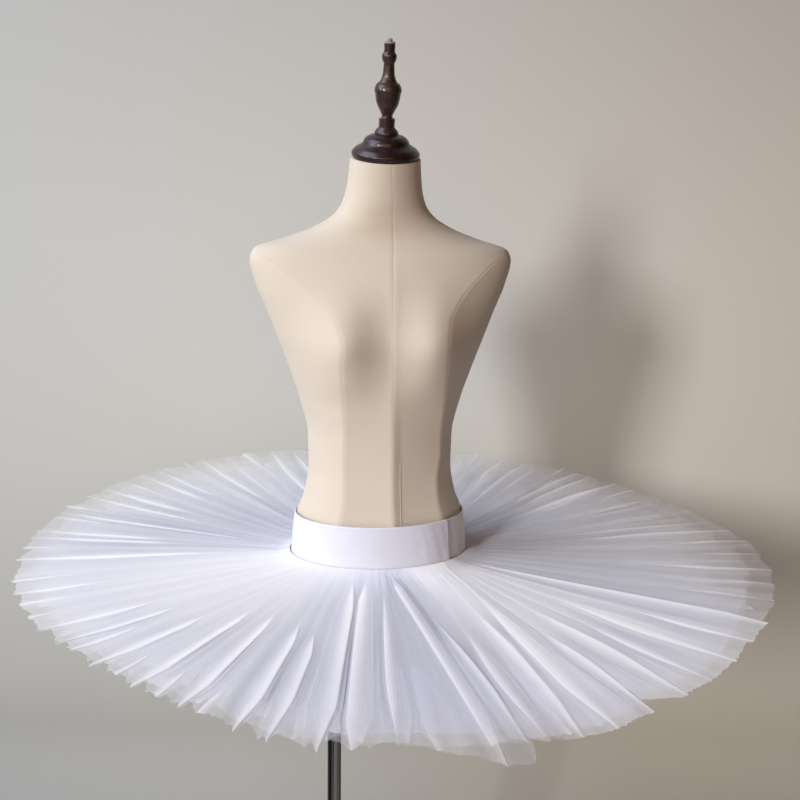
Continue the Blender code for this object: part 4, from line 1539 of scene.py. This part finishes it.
            # painted shade near the band, by direction
            pale *= 1 - (1 - net_here.inner) * (1 - ease(share, 0.05, 0.55))
            # painted light: laps are painted whiter
            painted_light_row.append(pale + (1 - pale) * folded)
        rows.append(row)
        gathers.append(gather_row)
        painted_light_rows.append(painted_light_row)
    # the cut: along the strip by the hem's own length, and across it by the distance from the seam
    along = [0.0]
    for a, b in zip(rows[0], rows[0][1:] + rows[0][:1]):
        along.append(along[-1] + (a - b).length)
    for ring, row in enumerate(rows):
        depth = (rows[0][0] - row[0]).length
        uvs.append([(place, depth) for place in along])
    return rows, uvs, gathers, painted_light_rows


# Net, as a shader group: fine threads round the holes, and long streaks where the strip is drawn
# up. Out come how much it covers, and a normal that hardly turns, because thread has no face.
NET_HOLES = 620.0                   # to a metre
NET_CONTRAST = 0.25
NET_STREAKS = 0.5
NET_SOFTNESS = 1.4


def make_net_group():
    inputs = {"Cut": "Vector", "Normal": "Vector", "Gathering": "Float", "Cover": "Float"}
    outputs = {"Cover": "Float", "Streak": "Float", "Normal": "Vector"}
    group, given, result = new_group("fine_net", "ShaderNodeTree", inputs, outputs)
    math = partial(math_node, group)
    cells = add_node(
        group,
        "ShaderNodeTexVoronoi",
        voronoi_dimensions="2D",
        feature="DISTANCE_TO_EDGE",
        Scale=NET_HOLES,
        Randomness=0.35,
    )
    thread = add_node(
        group, "ShaderNodeMapRange", From_Min=0.05, From_Max=0.22, To_Min=0.5, To_Max=-0.5
    )
    drawn = add_node(group, "ShaderNodeMapping", Scale=(26.0, 1.2, 1.0))
    streak = add_node(
        group, "ShaderNodeTexNoise", noise_dimensions="2D", Scale=1.0, Detail=2.5, Roughness=0.5
    )
    split = add_node(group, "ShaderNodeSeparateXYZ")
    upward = add_node(group, "ShaderNodeCombineXYZ")
    add = add_node(group, "ShaderNodeVectorMath", operation="ADD")
    unit = add_node(group, "ShaderNodeVectorMath", operation="NORMALIZE")
    wire(
        group,
        (given, "Cut", cells, "Vector"),
        (cells, "Distance", thread, "Value"),
        (given, "Cut", drawn, "Vector"),
        (drawn, "Vector", streak, "Vector"),
        (given, "Normal", split, "Vector"),
        (given, "Normal", add, 0),
        (upward, "Vector", add, 1),
        (add, "Vector", unit, 0),
        (unit, "Vector", result, "Normal"),
    )
    streaks = math("MULTIPLY", math("SUBTRACT", streak.outputs["Fac"], 0.5), 2.0)
    # they fade towards the band, where they would be finer than hair
    streaks = math("DIVIDE", streaks, math("POWER", given.outputs["Gathering"], 0.8))
    # a streak is net lying closer together, so it changes the number of threads in the way
    closeness = math("ADD", 1.0, math("MULTIPLY", streaks, NET_STREAKS))
    power = math("MULTIPLY", given.outputs["Gathering"], closeness)
    bare = math("POWER", math("SUBTRACT", 1.0, given.outputs["Cover"]), power)
    holes = math("MULTIPLY", math("MULTIPLY", thread.outputs["Result"], NET_CONTRAST), bare)
    cover = math("ADD", math("SUBTRACT", 1.0, bare), holes, clamp=True)
    group.links.new(cover, result.inputs["Cover"])
    group.links.new(streaks, result.inputs["Streak"])
    lift = math("MULTIPLY", math("SIGN", split.outputs["Z"]), NET_SOFTNESS)
    group.links.new(lift, upward.inputs["Z"])
    return group


net_group = make_net_group()


def net_material(name, cover, shadow, light):
    """Stiff net that covers the share given at its hem, and more where it is gathered. Its colour
    runs from a shadow colour to a lit one by its "white" mark, as painted light and shade.
    """
    material, tree = new_material(name)
    shader = principled(
        tree, Roughness=0.75, Sheen_Weight=1.0, Sheen_Roughness=0.5, Specular_IOR_Level=0.2
    )
    cut = add_node(tree, "ShaderNodeUVMap", uv_map="cut")
    surface = add_node(tree, "ShaderNodeNewGeometry")
    gathering = add_node(tree, "ShaderNodeAttribute", attribute_name="gathering")
    # the "white" mark is painted light and shade: laps whiter; valleys, the hem and some inner
    # parts greyer
    white = add_node(tree, "ShaderNodeAttribute", attribute_name="white")
    net = add_node(tree, "ShaderNodeGroup", node_tree=net_group, Cover=cover)
    tone = add_node(tree, "ShaderNodeMix", data_type="RGBA", A=shadow, B=light)
    wire(
        tree,
        (cut, "UV", net, "Cut"),
        (surface, "Normal", net, "Normal"),
        (gathering, "Fac", net, "Gathering"),
        (net, "Cover", shader, "Alpha"),
        (net, "Normal", shader, "Normal"),
    )
    whiter = add_node(tree, "ShaderNodeMath", operation="MULTIPLY_ADD", use_clamp=True)
    whiter.inputs[1].default_value = 0.5
    wire(
        tree,
        (net, "Streak", whiter, 0),
        (white, "Fac", whiter, 2),
        (whiter, "Value", tone, "Factor"),
        (tone, "Result", shader, "Base Color"),
    )
    return material


# each net's colours: a painted shade colour, then a lit one
sheer_net = net_material("sheer_white_net", 0.34, (0.66, 0.70, 0.87), (0.92, 0.935, 1.0))
dense_net = net_material("dense_white_net", 0.55, (0.67, 0.71, 0.88), (0.91, 0.925, 1.0))
full_net = net_material("full_white_net", 0.85, (0.68, 0.72, 0.88), (0.90, 0.915, 1.0))


def hang_net(name, sheet, material, node):
    """Put one gathered strip in the scene."""
    rows, uvs, gathers, painted_lights = sheet
    mesh = grid_mesh(name, rows, material, True, uvs, {"gathering": gathers, "white": painted_lights})
    piece = add_piece(name, mesh, [node])


# the folds out of sight round the back are painted greyer, as painted shade
chance = random.Random(5)
hidden_folds = random_folds(
    chance,
    start=85.5,
    end=272.0,
    spacing=4.6,
    width=0.007,
    height=0.0040,
    tip=0.005,
    pale=(0.1, 0.6),
)
top_folds = FRONT_FOLDS + hidden_folds
sheet = net_sheet(top_folds, TOP_OUTER, 41, tucked=True)
hang_net("top_net_outer", sheet, sheer_net, "net_top")
sheet = net_sheet(top_folds, TOP_UNDER, 43, lapped=False, lower=0.0016, wander_by=0.007)
hang_net("top_net_under", sheet, sheer_net, "net_top")

# at the front the second strip was cut longer for a hand's breadth, and shows below the first
Flap = namedtuple("Flap", "begins full ends length")
front_flap = Flap(-6.0, 10.0, 12.4, 0.046)
all_round = partial(random_folds, chance, -180.0, 180.0, height=0.0045, pale=(0.7, 1.0))
second_folds = all_round(spacing=7.2, width=0.016, tip=0.007)
sheet = net_sheet(second_folds, SECOND, 47, flap=front_flap)
hang_net("second_net", sheet, sheer_net, "net_second")

third_folds = all_round(spacing=8.6, width=0.018, tip=0.006)
hang_net("third_net", net_sheet(third_folds, THIRD, 53), dense_net, "net_third")

fourth_folds = all_round(spacing=10.5, width=0.020, tip=0.006)
hang_net("fourth_net", net_sheet(fourth_folds, FOURTH, 59), full_net, "net_fourth")
